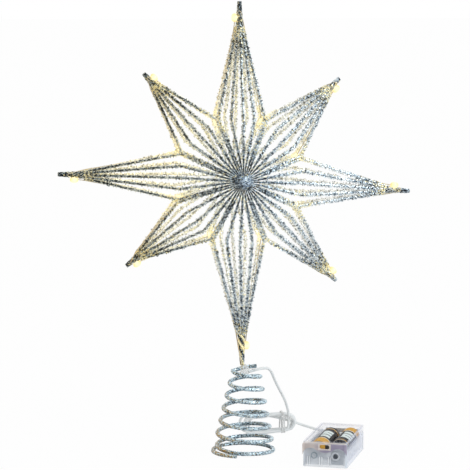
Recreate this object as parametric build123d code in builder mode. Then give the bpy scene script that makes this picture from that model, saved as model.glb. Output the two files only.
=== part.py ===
from build123d import *
import os
from math import ceil, cos, radians, sin, sqrt, tan

os.makedirs("parts", exist_ok=True)

# Star wires, in millimetres; directions are degrees from +X towards +Z, lengths run from the star's centre
ARMS = {
    "right": (-4.8, 139.3),
    "upper_right": (44.0, 112.8),
    "top": (89.5, 138.8),
    "upper_left": (131.7, 111.4),
    "left": (177.6, 141.5),
    "lower_left": (217.0, 111.0),
    "bottom": (271.3, 148.5),
    "lower_right": (313.9, 114.4),
}
LONG_ARMS = ("right", "top", "left")
STEM_ARM = "bottom"
WIRE_RADIUS = 0.7
WIRE_SIDES = 6
WIRE_BEND = 4.0
FAN_WIRES = 5
NOTCH_RADIUS = 51.5
EDGE_DEPTH = 10.0
RIDGE_DEPTH = 18.0
EDGE_OFFSET = 0.95
HUB_RADIUS = 11.6
HUB_DEPTH = 24.0
WIRE_SEAT = 0.7

# Twisted tips and stem
LONG_TIP = 21.0
SHORT_TIP = 12.7
STEM_LENGTH = 26.0
GATHER_RADIUS = 2.7
TIP_END_RADIUS = 1.6
STEM_END_RADIUS = 1.7
BUNDLE_LOBES = 5
BUNDLE_GROOVE = 0.78
TWIST_PITCH = 40.0
TWIST_STEPS = 5

# Hubs and notch joints
HUB_RISE = 1.9
HUB_EYE = 2.4
HUB_GROOVE = 0.9
NOTCH_BEAD_RADIUS = 1.9
NOTCH_BEAD_LENGTH = 3.6
BEAD_SIDES = 6

# LED string
LED_WIRE = 0.8
LED_WIRE_BEND = 1.2
LED_RADIUS = 1.7
LED_LENGTH = 5.0
LED_NOTCH_BACK = 2.5
LED_CLEAR = 0.5
LED_TIP_SHARE = 0.4
LED_CLOCKWISE = ("upper_right", "upper_left")
LED_SEAT_SHARE = 0.8
STEM_LEAD_SHARE = 0.7
FINE_WIRE_SIDES = 4
STRING_FRONT_SHARE = 0.75

# Coil foot
COIL_WIRE = 3.0
COIL_BASE_RADIUS = 24.6
COIL_TOP_RADIUS = 10.7
COIL_PITCH = 10.1
COIL_TURNS = 7.19
COIL_START = 247.0
COIL_FLAT_CUT = 0.5
COIL_STEP_UP = 1.9
COIL_STEP_IN = 2.9
COIL_LEAN = 2.0
COIL_FLAT_TURNS = 0.6
COIL_RISE_TURNS = 1.69
COIL_RISE = 7.2
COIL_TAIL_SINK = 0.9
COIL_TAIL_RISE = 1.4
COIL_END_REACH = 10.1
COIL_END_BACK = 2.4
COIL_TAIL_HEADING = (1.0, -0.1, 0.25)
COIL_BEHIND_HEADING = (1.0, 0.0, 0.2)

# Glue joint
GLUE_RADIUS = 4.3
GLUE_HEIGHT = 10.4
GLUE_X = 0.9
GLUE_Y = 0.4
GLUE_ABOVE_COIL = 0.25
GLUE_SIDES = 12
GLUE_RINGS = ((-0.5, 0.3), (-0.36, 0.75), (0.0, 1.0), (0.3, 0.82), (0.5, 0.35))
STEM_ASIDE = -2.1
STEM_SEAT = 0.8

# Lead cord: the routes are points chosen by hand
CORD = 2.2
CORD_SIDES = 6
CORD_SEAT = 0.8
CORD_BEND_SHARE = 0.45
CORD_EXIT_DROP = 1.6
UPPER_ROUTE = [
    (12.0, 6.6, 65.0), (20.4, 13.0, 64.9), (25.4, 18.0, 62.2), (31.0, 27.0, 50.5),
    (36.6, 36.0, 41.2), (42.4, 45.0, 31.8), (46.2, 53.0, 22.9), (48.6, 59.6, 16.5),
]
LOWER_ROUTE = [
    (90.0, 24.0, 4.4), (89.5, 36.0, 2.8), (84.0, 49.0, 1.6), (75.5, 61.0, 1.2),
    (68.5, 66.4, 2.6), (62.5, 69.8, 4.2), (56.0, 70.8, 6.6),
]

# Hank of the cord's spare length: left end and left fold of each loop, and right folds between the loops
HANK_LOOPS = ((17.0, 6.6), (22.0, 6.7), (15.5, 7.3), (20.0, 6.8))
HANK_RIGHTS = (47.5, 48.5, 46.8)
HANK_PITCH = 2.8
HANK_FAN = 1.25
HANK_NEAR = 59.6
HANK_OPEN = 24.0
HANK_DRAWN = 38.5
HANK_TIED_FOLD = 6.6
HANK_ENTRY_FOLD = 5.6
HANK_OUT_X = 49.4
HANK_OUT_Z = 8.9
CORD_LIFT = 0.1
TIE_X = 44.2
TIE_WIDTH = 2.6
TIE_THICKNESS = 0.9
TIE_SQUEEZE = 0.1

# Battery box: two AA cells side by side, near end towards the viewer
CELL_DIAMETER = 14.5
CELL_LENGTH = 50.5
CELL_NUB_DIAMETER = 5.5
CELL_NUB_LENGTH = 1.2
CELL_EDGE = 0.8
CELL_GAP = 0.9
CRADLE_LIFT = 1.8
BOX_X = 52.5
BOX_Y = -64.2
BOX_TURN = -24.0
BOX_WALL = 1.6
BOX_CORNER = 2.4
PARTITION = 1.2
SWITCH_BAY = 8.0
CONTACT_PLATE = 0.5
SPRING_LENGTH = 5.5
NUB_RISE = 1.0
NUB_TAPER = 35.0
PLATE_HALF_SHARE = 0.38
LINK_DROP_SHARE = 0.22
LID_THICKNESS = 1.5
LID_TONGUE = 0.6
TONGUE_DEPTH = 0.9
LID_CLEAR = 0.25
CELL_HEADROOM = 0.4
SKIRT = 1.4
SKIRT_WINDOW = (7.8, 3.3)
SKIRT_WINDOW_ROUND = 1.5
SKIRT_LOW_SHARE = 0.5
SKIRT_HIGH_SHARE = 0.74
SKIRT_DIP_SHARE = 0.6
SKIRT_CREST_SHARE = 0.45
SKIRT_CREST_LEAN = 0.2
CRADLE_HEIGHT = 5.0
CRADLE_WIDTH = 1.6
CRADLE_SHARES = (0.3, 0.7)
CHANNEL_WIDTH = 4.0
RIB_WIDTH = 0.7
RIB_PROUD = 0.5
RIB_HEIGHT = 6.6
RIB_PAIR_SHARES = ((-0.37, 1.6), (-0.09, 1.8), (0.11, 1.9))
ROUNDEL_RADIUS = 2.6
BUTTON_RADIUS = 1.7
BUTTON_PROUD = 1.6
BUTTON_TRAVEL = 1.2
BUTTON_ASIDE = 0.8
BUTTON_DROP = 1.65
BUTTON_COLLAR = 0.8
SWITCH_WIDTH = 9.0
SPRING_WIRE = 0.7
SPRING_BASE_RADIUS = 3.8
SPRING_TIP_RADIUS = 2.0
SPRING_TURNS = 3.0
RELIEF_RADIUS = 2.6
RELIEF_LENGTH = 8.0
RELIEF_Z = 5.5
RELIEF_NECK = 2.1
RELIEF_LIP = 0.3
CORD_LEAD_OUT = 7.0
HOOKUP_WIRE = 1.0
HOOKUP_RUN_OUT = 7.0
TAB_WIDTH = 1.5


def write(piece, name):
    """Labels a finished piece and writes it under its name."""
    piece.part.label = name
    export_step(piece.part, f"parts/{name}.step")


def path_length(path):
    """Length of a path of lines and arcs."""
    return Wire(path.edges()).length


def tube(path, radius, sides):
    """One solid of a many-sided section swept along a path of lines and arcs."""
    wire = Wire(path.edges())
    with BuildSketch(Plane(wire @ 0, z_dir=wire % 0)) as section:
        RegularPolygon(radius, sides)
    return sweep(section.sketch, path=wire, mode=Mode.PRIVATE)


def bent_wire(points, radius, sides, bend):
    """A wire bent at each inner point."""
    with BuildLine() as path:
        FilletPolyline(*points, radius=bend)
    return tube(path, radius, sides)


def biarc(start, start_dir, end, end_dir):
    """Two arcs that leave start along start_dir and reach end along end_dir."""
    chord = end - start
    along = chord.dot(start_dir + end_dir)
    spread = 2 * (1 - start_dir.dot(end_dir))
    if spread < 1e-9:
        reach = chord.dot(chord) / (2 * along)
    else:
        reach = (sqrt(along**2 + spread * chord.dot(chord)) - along) / spread
    first = start + start_dir * reach
    second = end - end_dir * reach
    if chord.cross(start_dir).length < 1e-6 and chord.cross(end_dir).length < 1e-6:
        Line(start, end)
    else:
        joint = (first + second) / 2
        TangentArc(start, joint, tangent=start_dir)
        TangentArc(joint, end, tangent=(second - first).normalized())


def curve_through(stations):
    """Biarcs through a list of (point, direction) stations."""
    for (start, start_dir), (end, end_dir) in zip(stations, stations[1:]):
        biarc(start, start_dir.normalized(), end, end_dir.normalized())


def least_gap(path, thickness, apart, step=1.0):
    """Least clear distance between stretches of a tube that are further apart than apart along it."""
    wire = Wire(path.edges())
    count = ceil(wire.length / step)
    points = [wire @ (i / count) for i in range(count + 1)]
    skip = ceil(apart / step)
    pairs = ((points[i] - points[j]).length for i in range(count + 1) for j in range(i + skip, count + 1))
    return min(pairs) - thickness


def drop(centre, axis, radius, length):
    """A many-sided bead, widest at its middle."""
    middle = Plane(centre, z_dir=axis)
    with BuildSketch(middle.offset(-length / 2)) as low:
        RegularPolygon(radius / 2, BEAD_SIDES)
    with BuildSketch(middle) as wide:
        RegularPolygon(radius, BEAD_SIDES)
    with BuildSketch(middle.offset(length / 2)) as high:
        RegularPolygon(radius / 2, BEAD_SIDES)
    return loft([low.sketch, wide.sketch, high.sketch], ruled=True, mode=Mode.PRIVATE)


def ray(angle):
    """Unit direction in the star's plane."""
    return Vector(cos(radians(angle)), 0, sin(radians(angle)))


def depth(amount):
    """Offset towards the back of the star; negative is towards the viewer."""
    return Vector(0, amount, 0)


# Coil foot: one wire from a free end on the floor, a flat base ring, a step over that end and a cone of turns
coil_radius = COIL_WIRE / 2
floor_height = coil_radius - COIL_FLAT_CUT
over_end_height = floor_height + COIL_STEP_UP
rise_height = over_end_height + COIL_RISE
coil_top_height = rise_height + COIL_PITCH * (COIL_TURNS - COIL_RISE_TURNS)


def coil_step(turns):
    """Share of the step that takes the second turn in and over the free end."""
    if turns <= 1:
        share = max(0.0, (turns - COIL_FLAT_TURNS) / (1 - COIL_FLAT_TURNS))
        return share**2 * (3 - 2 * share)
    return max(0.0, (COIL_RISE_TURNS - turns) / (COIL_RISE_TURNS - 1))


def coil_height(turns):
    """Height of the wire's centre after a number of turns from the free end."""
    if turns <= 1:
        return floor_height + (over_end_height - floor_height) * coil_step(turns)
    if turns <= COIL_RISE_TURNS:
        return over_end_height + (rise_height - over_end_height) * (turns - 1) / (COIL_RISE_TURNS - 1)
    return rise_height + COIL_PITCH * (turns - COIL_RISE_TURNS)


def coil_point(turns):
    """Centre of the coil wire after a number of turns, on a cone that leans a little to the right."""
    height = coil_height(turns)
    share = height / coil_top_height
    radius = COIL_BASE_RADIUS + (COIL_TOP_RADIUS - COIL_BASE_RADIUS) * share - COIL_STEP_IN * coil_step(turns)
    angle = radians(COIL_START - 360 * turns)
    return Vector(COIL_LEAN * share + radius * cos(angle), radius * sin(angle), height)


def coil_station(turns):
    """Place and direction of the coil wire."""
    small = 0.004
    return coil_point(turns), (coil_point(turns + small) - coil_point(turns - small)).normalized()


glue_height = coil_top_height + GLUE_ABOVE_COIL
quarter_turns = ceil(COIL_TURNS * 4)
coil_stations = [coil_station(COIL_TURNS * i / quarter_turns) for i in range(quarter_turns + 1)]
behind_y = GLUE_Y + GLUE_RADIUS + coil_radius - COIL_TAIL_SINK
behind_stem = Vector(GLUE_X, behind_y, glue_height + COIL_TAIL_RISE)
coil_end = Vector(GLUE_X + COIL_END_REACH, GLUE_Y + COIL_END_BACK, glue_height + 2 * COIL_TAIL_RISE)
coil_tail = Vector(COIL_TAIL_HEADING)
coil_stations += [
    (behind_stem, Vector(COIL_BEHIND_HEADING)),
    (coil_end - coil_tail.normalized() * COIL_WIRE, coil_tail),
    (coil_end, coil_tail),
]
with BuildPart() as coil:
    with BuildLine() as coil_path:
        curve_through(coil_stations)
    add(tube(coil_path, coil_radius, WIRE_SIDES), clean=False)
    split(bisect_by=Plane.XY, keep=Keep.TOP)
write(coil, "coil_foot")
coil_gap = least_gap(coil_path, COIL_WIRE, COIL_BASE_RADIUS)
print("coil wire", round(path_length(coil_path)), "mm, least gap", round(coil_gap, 2))

# Star: placed by the lower end of the stem, which stands in the glue
stem_end = Vector(GLUE_X + STEM_ASIDE, 0, glue_height + GLUE_HEIGHT / 2 - STEM_SEAT)
stem_direction, stem_arm_length = ARMS[STEM_ARM]
centre = stem_end - ray(stem_direction) * stem_arm_length
names = list(ARMS)
tip_lengths = {name: LONG_TIP if name in LONG_ARMS else SHORT_TIP for name in names}
tip_lengths[STEM_ARM] = STEM_LENGTH


def notch_angle(index):
    """Direction of the notch that follows an arm, counterclockwise."""
    here = ARMS[names[index]][0]
    following = ARMS[names[(index + 1) % len(names)]][0]
    return here + ((following - here) % 360) / 2


def arm_sides(index):
    """Directions of the notches before and after an arm."""
    after = notch_angle(index)
    before = notch_angle((index - 1) % len(names))
    return after - (after - before) % 360, after


def wire_angles(index):
    """Directions in which the wires of an arm leave the hub."""
    before, after = arm_sides(index)
    return [before + (after - before) * (i + 0.5) / FAN_WIRES for i in range(FAN_WIRES)]


def fan_points(index, face):
    """Ends and bends of the wires on one face of an arm; face is -1 in front and 1 at the back."""
    name = names[index]
    direction, length = ARMS[name]
    along = ray(direction)
    side = ray(direction + 90)
    before, after = arm_sides(index)
    gap = EDGE_OFFSET / radians(NOTCH_RADIUS)
    first = ray(before + gap) * NOTCH_RADIUS
    last = ray(after - gap) * NOTCH_RADIUS
    gather = along * (length - tip_lengths[name] + WIRE_SEAT)
    wires = []
    for i, angle in enumerate(wire_angles(index)):
        share = i / (FAN_WIRES - 1)
        step = radians(180 * (i + 0.5) / FAN_WIRES)
        bulge = EDGE_DEPTH + (RIDGE_DEPTH - EDGE_DEPTH) * sin(radians(180 * share))
        tip = gather - side * GATHER_RADIUS * cos(step) + depth(face * GATHER_RADIUS * sin(step))
        bend = first + (last - first) * share + depth(face * bulge)
        hub = ray(angle) * HUB_RADIUS + depth(face * HUB_DEPTH)
        wires.append([centre + tip, centre + bend, centre + hub])
    return wires


for index, name in enumerate(names):
    for face, word in ((-1, "front"), (1, "back")):
        with BuildPart() as fan:
            wires = fan_points(index, face)
            add([bent_wire(points, WIRE_RADIUS, WIRE_SIDES, WIRE_BEND) for points in wires], clean=False)
        write(fan, f"{name}_arm_{word}_wires")

# Twisted tips: ten wires gathered in a lobed bundle that tapers as it turns
def bundle_radius_at(name, share):
    """Radius of a twisted tip at a share of its length."""
    start = GATHER_RADIUS + WIRE_RADIUS
    end = STEM_END_RADIUS if name == STEM_ARM else TIP_END_RADIUS
    return start + (end - start) * share


for index, name in enumerate(names):
    direction, length = ARMS[name]
    tip_length = tip_lengths[name]
    base = Plane(centre + ray(direction) * (length - tip_length), x_dir=(0, 1, 0), z_dir=ray(direction))
    with BuildPart() as tip:
        for step in range(TWIST_STEPS + 1):
            share = step / TWIST_STEPS
            radius = bundle_radius_at(name, share)
            turn = 360 * tip_length * share / TWIST_PITCH
            with BuildSketch(base.offset(tip_length * share)):
                corners = []
                for corner in range(2 * BUNDLE_LOBES):
                    reach = radius if corner % 2 == 0 else radius * BUNDLE_GROOVE
                    angle = radians(turn + 180 * corner / BUNDLE_LOBES)
                    corners.append((reach * cos(angle), reach * sin(angle)))
                Polygon(*corners, align=None)
        loft(ruled=True)
    write(tip, "twisted_stem" if name == STEM_ARM else f"{name}_tip")

# Hubs: a fluted boss on each face, with a flute between neighbouring wires
hub_angles = sorted(angle % 360 for index in range(len(names)) for angle in wire_angles(index))


def flute_corners(radius, groove):
    """Outline of the hub: a crest on each wire and a valley between wires."""
    corners = []
    for here, following in zip(hub_angles, hub_angles[1:] + [hub_angles[0] + 360]):
        valley = (here + following) / 2
        for angle, reach in ((here, radius), (valley, radius - groove)):
            corners.append((reach * cos(radians(angle)), reach * sin(radians(angle))))
    return corners


for face, word in ((-1, "front"), (1, "back")):
    middle = Plane(centre + depth(face * HUB_DEPTH), x_dir=(1, 0, 0), z_dir=(0, -1, 0))
    rim = HUB_RADIUS + WIRE_SEAT
    with BuildPart() as hub:
        with BuildSketch(middle.offset(face * 2 * WIRE_RADIUS)):
            Polygon(*flute_corners(HUB_RADIUS - WIRE_RADIUS, HUB_GROOVE), align=None)
        with BuildSketch(middle):
            Polygon(*flute_corners(rim, HUB_GROOVE), align=None)
        with BuildSketch(middle.offset(-face * HUB_RISE)):
            Polygon(*flute_corners(HUB_EYE, HUB_EYE * HUB_GROOVE / HUB_RADIUS), align=None)
        loft(ruled=True)
    write(hub, f"{word}_hub")

# Solder beads: join the edge wires of neighbouring arms at every notch, front and back
with BuildPart() as notch_joints:
    beads = []
    for index in range(len(names)):
        outward = ray(notch_angle(index))
        for face in (-1, 1):
            place = centre + outward * NOTCH_RADIUS + depth(face * EDGE_DEPTH)
            beads.append(drop(place, outward, NOTCH_BEAD_RADIUS, NOTCH_BEAD_LENGTH))
    add(beads)
write(notch_joints, "notch_joints")

# LED string: from the drop in each notch out along the arm, round the front of the twisted tip and back
led_wire_radius = LED_WIRE / 2
string_side = GATHER_RADIUS + WIRE_RADIUS + led_wire_radius + LED_CLEAR


def notch_drop(index):
    """Middle of the LED drop in the notch that follows an arm."""
    return centre + ray(notch_angle(index)) * (NOTCH_RADIUS - LED_NOTCH_BACK)


def led_side(name):
    """Side of an arm that carries its LED drop: 1 is counterclockwise."""
    return -1 if name in LED_CLOCKWISE else 1


def tip_drop(index):
    """Middle of the LED drop glued to the side of a twisted tip."""
    name = names[index]
    direction, length = ARMS[name]
    reach = length - tip_lengths[name] * (1 - LED_TIP_SHARE)
    aside = bundle_radius_at(name, LED_TIP_SHARE) * BUNDLE_GROOVE + LED_RADIUS * LED_SEAT_SHARE
    return centre + ray(direction) * reach + ray(direction + 90 * led_side(name)) * aside


def string_points(index):
    """Places that the string passes on one arm, from the notch before to the notch after."""
    direction, length = ARMS[names[index]]
    along = ray(direction)
    side = ray(direction + 90)
    tip_length = tip_lengths[names[index]]
    gather = centre + along * (length - tip_length)
    inset = ray(direction + 90) * led_wire_radius
    before = notch_drop((index - 1) % len(names)) + inset + along * LED_LENGTH / 4
    after = notch_drop(index) - inset + along * LED_LENGTH / 4
    first = gather - side * string_side
    last = gather + side * string_side
    if names[index] == STEM_ARM:
        foot = gather + along * (tip_length + GLUE_HEIGHT / 3)
        middle = gather + along * tip_length / 2
        aside = string_side * STEM_LEAD_SHARE
        entry = STEM_END_RADIUS + LED_WIRE
        return [
            [before, first, middle - side * aside - depth(aside), foot - depth(entry)],
            [after, last, middle + side * aside + depth(aside), foot + depth(entry)],
        ]
    clear = bundle_radius_at(names[index], STRING_FRONT_SHARE) + led_wire_radius
    front = gather + along * tip_length * STRING_FRONT_SHARE - depth(clear)
    if led_side(names[index]) == 1:
        return [[before, first, front, tip_drop(index), last, after]]
    return [[before, first, tip_drop(index), front, last, after]]


with BuildPart() as led_string:
    runs = [points for index in range(len(names)) for points in string_points(index)]
    add([bent_wire(points, led_wire_radius, FINE_WIRE_SIDES, LED_WIRE_BEND) for points in runs], clean=False)
write(led_string, "led_string_wire")

with BuildPart() as leds:
    drops = []
    for index, name in enumerate(names):
        drops.append(drop(notch_drop(index), ray(notch_angle(index)), LED_RADIUS, LED_LENGTH))
        drops.append(drop(tip_drop(index), ray(ARMS[name][0]), LED_RADIUS, LED_LENGTH))
    add(drops)
write(leds, "led_drops")

# Glue joint: a rounded blob round the foot of the stem, the coil's end and the start of the cord
with BuildPart() as glue:
    for rise, reach in GLUE_RINGS:
        with BuildSketch(Plane((GLUE_X, GLUE_Y, glue_height + GLUE_HEIGHT * rise))):
            RegularPolygon(GLUE_RADIUS * reach, GLUE_SIDES)
    loft(ruled=True)
write(glue, "glue_joint")

# Lead cord: straight runs joined by arcs as large as the runs allow
cord_radius = CORD / 2


def corner_radii(points):
    """Radius at each inner point of a cord's route."""
    radii = []
    for before, here, after in zip(points, points[1:], points[2:]):
        coming = Vector(here) - Vector(before)
        going = Vector(after) - Vector(here)
        shorter = min(coming.length, going.length)
        radii.append(CORD_BEND_SHARE * shorter / tan(radians(coming.get_angle(going)) / 2))
    return radii


def cord_tube(points):
    """One free stretch of the cord."""
    radii = corner_radii(points)
    with BuildLine() as path:
        FilletPolyline(*points, radius=radii)
    stretch = tube(path, cord_radius, CORD_SIDES)
    section = CORD_SIDES / 2 * cord_radius**2 * sin(radians(360 / CORD_SIDES))
    length = path_length(path)
    print("cord stretch", round(length, 1), "mm, radii", [round(radius, 1) for radius in radii],
          "volume over section times length", round(stretch.volume / section / length, 4))
    return stretch


hank_low = TIE_THICKNESS + cord_radius
hank_high = hank_low + 2 * HANK_TIED_FOLD
hank_far = HANK_NEAR + len(HANK_LOOPS) * HANK_PITCH
hank_in = Vector(UPPER_ROUTE[-1][0], HANK_NEAR, hank_low + HANK_ENTRY_FOLD + CORD)
hank_out = Vector(HANK_OUT_X, hank_far, HANK_OUT_Z)
cord_exit = Vector(GLUE_X + GLUE_RADIUS - CORD_SEAT, GLUE_Y + cord_radius, glue_height - CORD_EXIT_DROP)
with BuildPart() as upper_cord:
    add(cord_tube([cord_exit] + [Vector(point) for point in UPPER_ROUTE] + [hank_in]), clean=False)
write(upper_cord, "cord_upper")

# Hank: upright loops side by side, level in the tie, fanned out and of unlike size where they lie loose
down = Vector(0, 0, -1)
left_along = Vector(-1, 0, 0)
right_along = Vector(1, 0, 0)
hank_middle = (HANK_NEAR + hank_far) / 2
loose_low = cord_radius + CORD_LIFT
hank_stations = [
    (hank_in, down),
    (hank_in + down * CORD, down),
    (Vector(hank_in.X - HANK_ENTRY_FOLD, HANK_NEAR, hank_low), left_along),
]
for loop, (left, fold) in enumerate(HANK_LOOPS):
    tied_y = HANK_NEAR + loop * HANK_PITCH
    loose_y = hank_middle + (tied_y - hank_middle) * HANK_FAN
    hank_stations += [
        (Vector(HANK_DRAWN, tied_y, hank_low), left_along),
        (Vector(left, loose_y, loose_low), left_along),
        (Vector(left, loose_y, loose_low + 2 * fold), right_along),
        (Vector(HANK_OPEN, loose_y, loose_low + 2 * fold), right_along),
    ]
    if loop < len(HANK_RIGHTS):
        next_y = tied_y + HANK_PITCH
        hank_stations += [
            (Vector(HANK_DRAWN, next_y, hank_high), right_along),
            (Vector(HANK_RIGHTS[loop], next_y, hank_high), right_along),
            (Vector(HANK_RIGHTS[loop], next_y, hank_low), left_along),
        ]
leaving = (Vector(LOWER_ROUTE[-1]) - hank_out).normalized()
in_tie = hank_out - leaving * ((HANK_OUT_X - TIE_X) / leaving.X)
hank_stations += [(in_tie, leaving), (hank_out, leaving)]
with BuildPart() as hank:
    with BuildLine() as hank_path:
        curve_through(hank_stations)
    add(tube(hank_path, cord_radius, CORD_SIDES), clean=False)
write(hank, "cord_hank")
hank_gap = least_gap(hank_path, CORD, 3 * HANK_TIED_FOLD)
print("hank cord", round(path_length(hank_path)), "mm, least gap", round(hank_gap, 2))

# Tie: a soft band round the drawn-in end of the hank
tie_inner_width = hank_far - HANK_NEAR + CORD - 2 * TIE_SQUEEZE
tie_inner_height = hank_high - hank_low + CORD - 2 * TIE_SQUEEZE
tie_middle = Vector(TIE_X, hank_middle, (hank_low + hank_high) / 2)
with BuildPart() as tie:
    with BuildSketch(Plane(tie_middle, x_dir=(0, 1, 0), z_dir=(1, 0, 0))):
        RectangleRounded(tie_inner_width + 2 * TIE_THICKNESS, tie_inner_height + 2 * TIE_THICKNESS, CORD)
        RectangleRounded(tie_inner_width, tie_inner_height, CORD - TIE_THICKNESS, mode=Mode.SUBTRACT)
    extrude(amount=TIE_WIDTH / 2, both=True)
write(tie, "hank_tie")

# Battery box: x runs across, y from the near end to the far end, z up from the floor
box = Plane((BOX_X, BOX_Y, 0), x_dir=Vector(1, 0, 0).rotate(Axis.Z, BOX_TURN), z_dir=(0, 0, 1))
inner_width = 2 * CELL_DIAMETER + 3 * CELL_GAP
box_width = inner_width + 2 * BOX_WALL
cell_offset = (CELL_DIAMETER + CELL_GAP) / 2
bay_start = BOX_WALL + SWITCH_BAY + PARTITION
bay_length = 2 * CONTACT_PLATE + SPRING_LENGTH + CELL_LENGTH + NUB_RISE
bay_end = bay_start + bay_length
box_length = bay_end + BOX_WALL
cell_height = BOX_WALL + CRADLE_LIFT + CELL_DIAMETER / 2
lid_height = cell_height + CELL_DIAMETER / 2 + CELL_HEADROOM
box_height = lid_height + LID_THICKNESS
button_x = cell_offset + BUTTON_ASIDE
button_z = cell_height - BUTTON_DROP
button_bore = BUTTON_RADIUS + LID_CLEAR
boss_radius = 2 * BUTTON_RADIUS


def across(y):
    """Upright plane across the box at a distance from its near end, facing the near end."""
    return Plane(box.from_local_coords((0, y, 0)), x_dir=box.x_dir, z_dir=-box.y_dir)


def box_axis(x, z):
    """Axis along the box, away from the viewer."""
    return Axis(box.from_local_coords(Vector(x, 0, z)), box.y_dir)


with BuildPart() as tray:
    with BuildSketch(box):
        with Locations((0, box_length / 2)):
            RectangleRounded(box_width, box_length, BOX_CORNER)
    extrude(amount=box_height)
    with BuildSketch(box.offset(BOX_WALL)):
        with Locations((0, box_length / 2)):
            RectangleRounded(inner_width, box_length - 2 * BOX_WALL, BOX_CORNER - BOX_WALL)
    extrude(amount=box_height, mode=Mode.SUBTRACT)
    with BuildSketch(across(box_length - BOX_WALL)):
        with Locations((0, lid_height - LID_CLEAR)):
            Rectangle(inner_width, box_height, align=(Align.CENTER, Align.MIN))
            Rectangle(inner_width + 2 * TONGUE_DEPTH, LID_TONGUE + 2 * LID_CLEAR,
                      align=(Align.CENTER, Align.MIN))
    extrude(amount=box_length - BOX_WALL, mode=Mode.SUBTRACT)
    with BuildSketch(across(bay_start)):
        with Locations((0, BOX_WALL)):
            Rectangle(inner_width, lid_height - LID_CLEAR - BOX_WALL, align=(Align.CENTER, Align.MIN))
            Rectangle(inner_width / 2, CRADLE_HEIGHT, align=(Align.CENTER, Align.MIN), mode=Mode.SUBTRACT)
    extrude(amount=PARTITION)
    for share in CRADLE_SHARES:
        with BuildSketch(across(bay_start + bay_length * share)):
            with Locations((0, BOX_WALL)):
                Rectangle(inner_width, CRADLE_HEIGHT, align=(Align.CENTER, Align.MIN))
                Rectangle(CHANNEL_WIDTH, CRADLE_HEIGHT, align=(Align.CENTER, Align.MIN),
                          mode=Mode.SUBTRACT)
            with Locations((-cell_offset, cell_height), (cell_offset, cell_height)):
                Circle(CELL_DIAMETER / 2 + CELL_GAP / 2, mode=Mode.SUBTRACT)
        extrude(amount=CRADLE_WIDTH)
    with BuildSketch(across(0)):
        for share, spread in RIB_PAIR_SHARES:
            middle = box_width * share
            with Locations((middle - spread / 2, BOX_WALL), (middle + spread / 2, BOX_WALL)):
                Rectangle(RIB_WIDTH, RIB_HEIGHT, align=(Align.CENTER, Align.MIN))
        with Locations((-button_x, button_z)):
            Circle(ROUNDEL_RADIUS)
            Circle(ROUNDEL_RADIUS - RIB_WIDTH, mode=Mode.SUBTRACT)
        with Locations((button_x, button_z)):
            Circle(boss_radius)
    extrude(amount=RIB_PROUD)
    with BuildSketch(across(BOX_WALL)):
        with Locations((button_x, button_z)):
            Circle(button_bore)
    extrude(amount=BOX_WALL + RIB_PROUD, mode=Mode.SUBTRACT)
    with BuildSketch(across(box_length)):
        with Locations((0, RELIEF_Z)):
            Circle(RELIEF_NECK)
    extrude(amount=BOX_WALL, mode=Mode.SUBTRACT)
write(tray, "battery_tray")

# Lid: slides in the side grooves towards the viewer, with a skirt over the near end and a latch window
skirt_outside = LID_CLEAR + RIB_PROUD + SKIRT
skirt_low = box_height * SKIRT_LOW_SHARE
skirt_high = box_height * SKIRT_HIGH_SHARE
skirt_dip = box_height * SKIRT_DIP_SHARE
half_width = box_width / 2
crest_x = half_width * SKIRT_CREST_SHARE
shoulder = box_height - BOX_CORNER
with BuildPart() as lid:
    with BuildSketch(across(box_length - BOX_WALL - LID_CLEAR)):
        with Locations((0, lid_height)):
            Rectangle(inner_width - 2 * LID_CLEAR, LID_THICKNESS, align=(Align.CENTER, Align.MIN))
            Rectangle(inner_width + 2 * (TONGUE_DEPTH - LID_CLEAR), LID_TONGUE,
                      align=(Align.CENTER, Align.MIN))
    extrude(amount=box_length - BOX_WALL - LID_CLEAR + skirt_outside)
    with BuildSketch(across(SKIRT - skirt_outside)):
        with BuildLine():
            Line((-half_width, skirt_low), (-half_width, shoulder))
            RadiusArc((-half_width, shoulder), (-half_width + BOX_CORNER, box_height), BOX_CORNER)
            Line((-half_width + BOX_CORNER, box_height), (half_width - BOX_CORNER, box_height))
            RadiusArc((half_width - BOX_CORNER, box_height), (half_width, shoulder), BOX_CORNER)
            Line((half_width, shoulder), (half_width, skirt_low))
            TangentArc((half_width, skirt_low), (crest_x, skirt_high), tangent=(-SKIRT_CREST_LEAN, 1))
            ThreePointArc((crest_x, skirt_high), (0, skirt_dip), (-crest_x, skirt_high))
            TangentArc((-half_width, skirt_low), (-crest_x, skirt_high), tangent=(SKIRT_CREST_LEAN, 1))
        make_face()
        with Locations((0, lid_height - SKIRT_WINDOW[1] / 2 - LID_CLEAR)):
            RectangleRounded(*SKIRT_WINDOW, SKIRT_WINDOW_ROUND, mode=Mode.SUBTRACT)
    extrude(amount=SKIRT)
write(lid, "battery_lid")

# Cells: a can with a rounded edge and a nub; the left one has its nub near the viewer, the right one far
for name, side, flip in (("left", -1, 1), ("right", 1, -1)):
    contact = CONTACT_PLATE + (NUB_RISE if flip == 1 else SPRING_LENGTH)
    start = bay_start + contact if flip == 1 else bay_start + contact + CELL_LENGTH
    nub_end = Vector(side * cell_offset, start, cell_height)
    cell_plane = Plane(box.from_local_coords(nub_end), x_dir=box.y_dir * flip, z_dir=box.x_dir)
    rim = CELL_DIAMETER / 2
    with BuildPart() as cell:
        with BuildSketch(cell_plane):
            with BuildLine():
                Polyline(
                    (0, 0), (0, CELL_NUB_DIAMETER / 2), (CELL_NUB_LENGTH, CELL_NUB_DIAMETER / 2),
                    (CELL_NUB_LENGTH, rim - CELL_EDGE), (CELL_NUB_LENGTH + CELL_EDGE, rim),
                    (CELL_LENGTH - CELL_EDGE, rim), (CELL_LENGTH, rim - CELL_EDGE), (CELL_LENGTH, 0), (0, 0),
                )
            make_face()
        revolve(axis=box_axis(side * cell_offset, cell_height))
    write(cell, f"{name}_cell")

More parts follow.
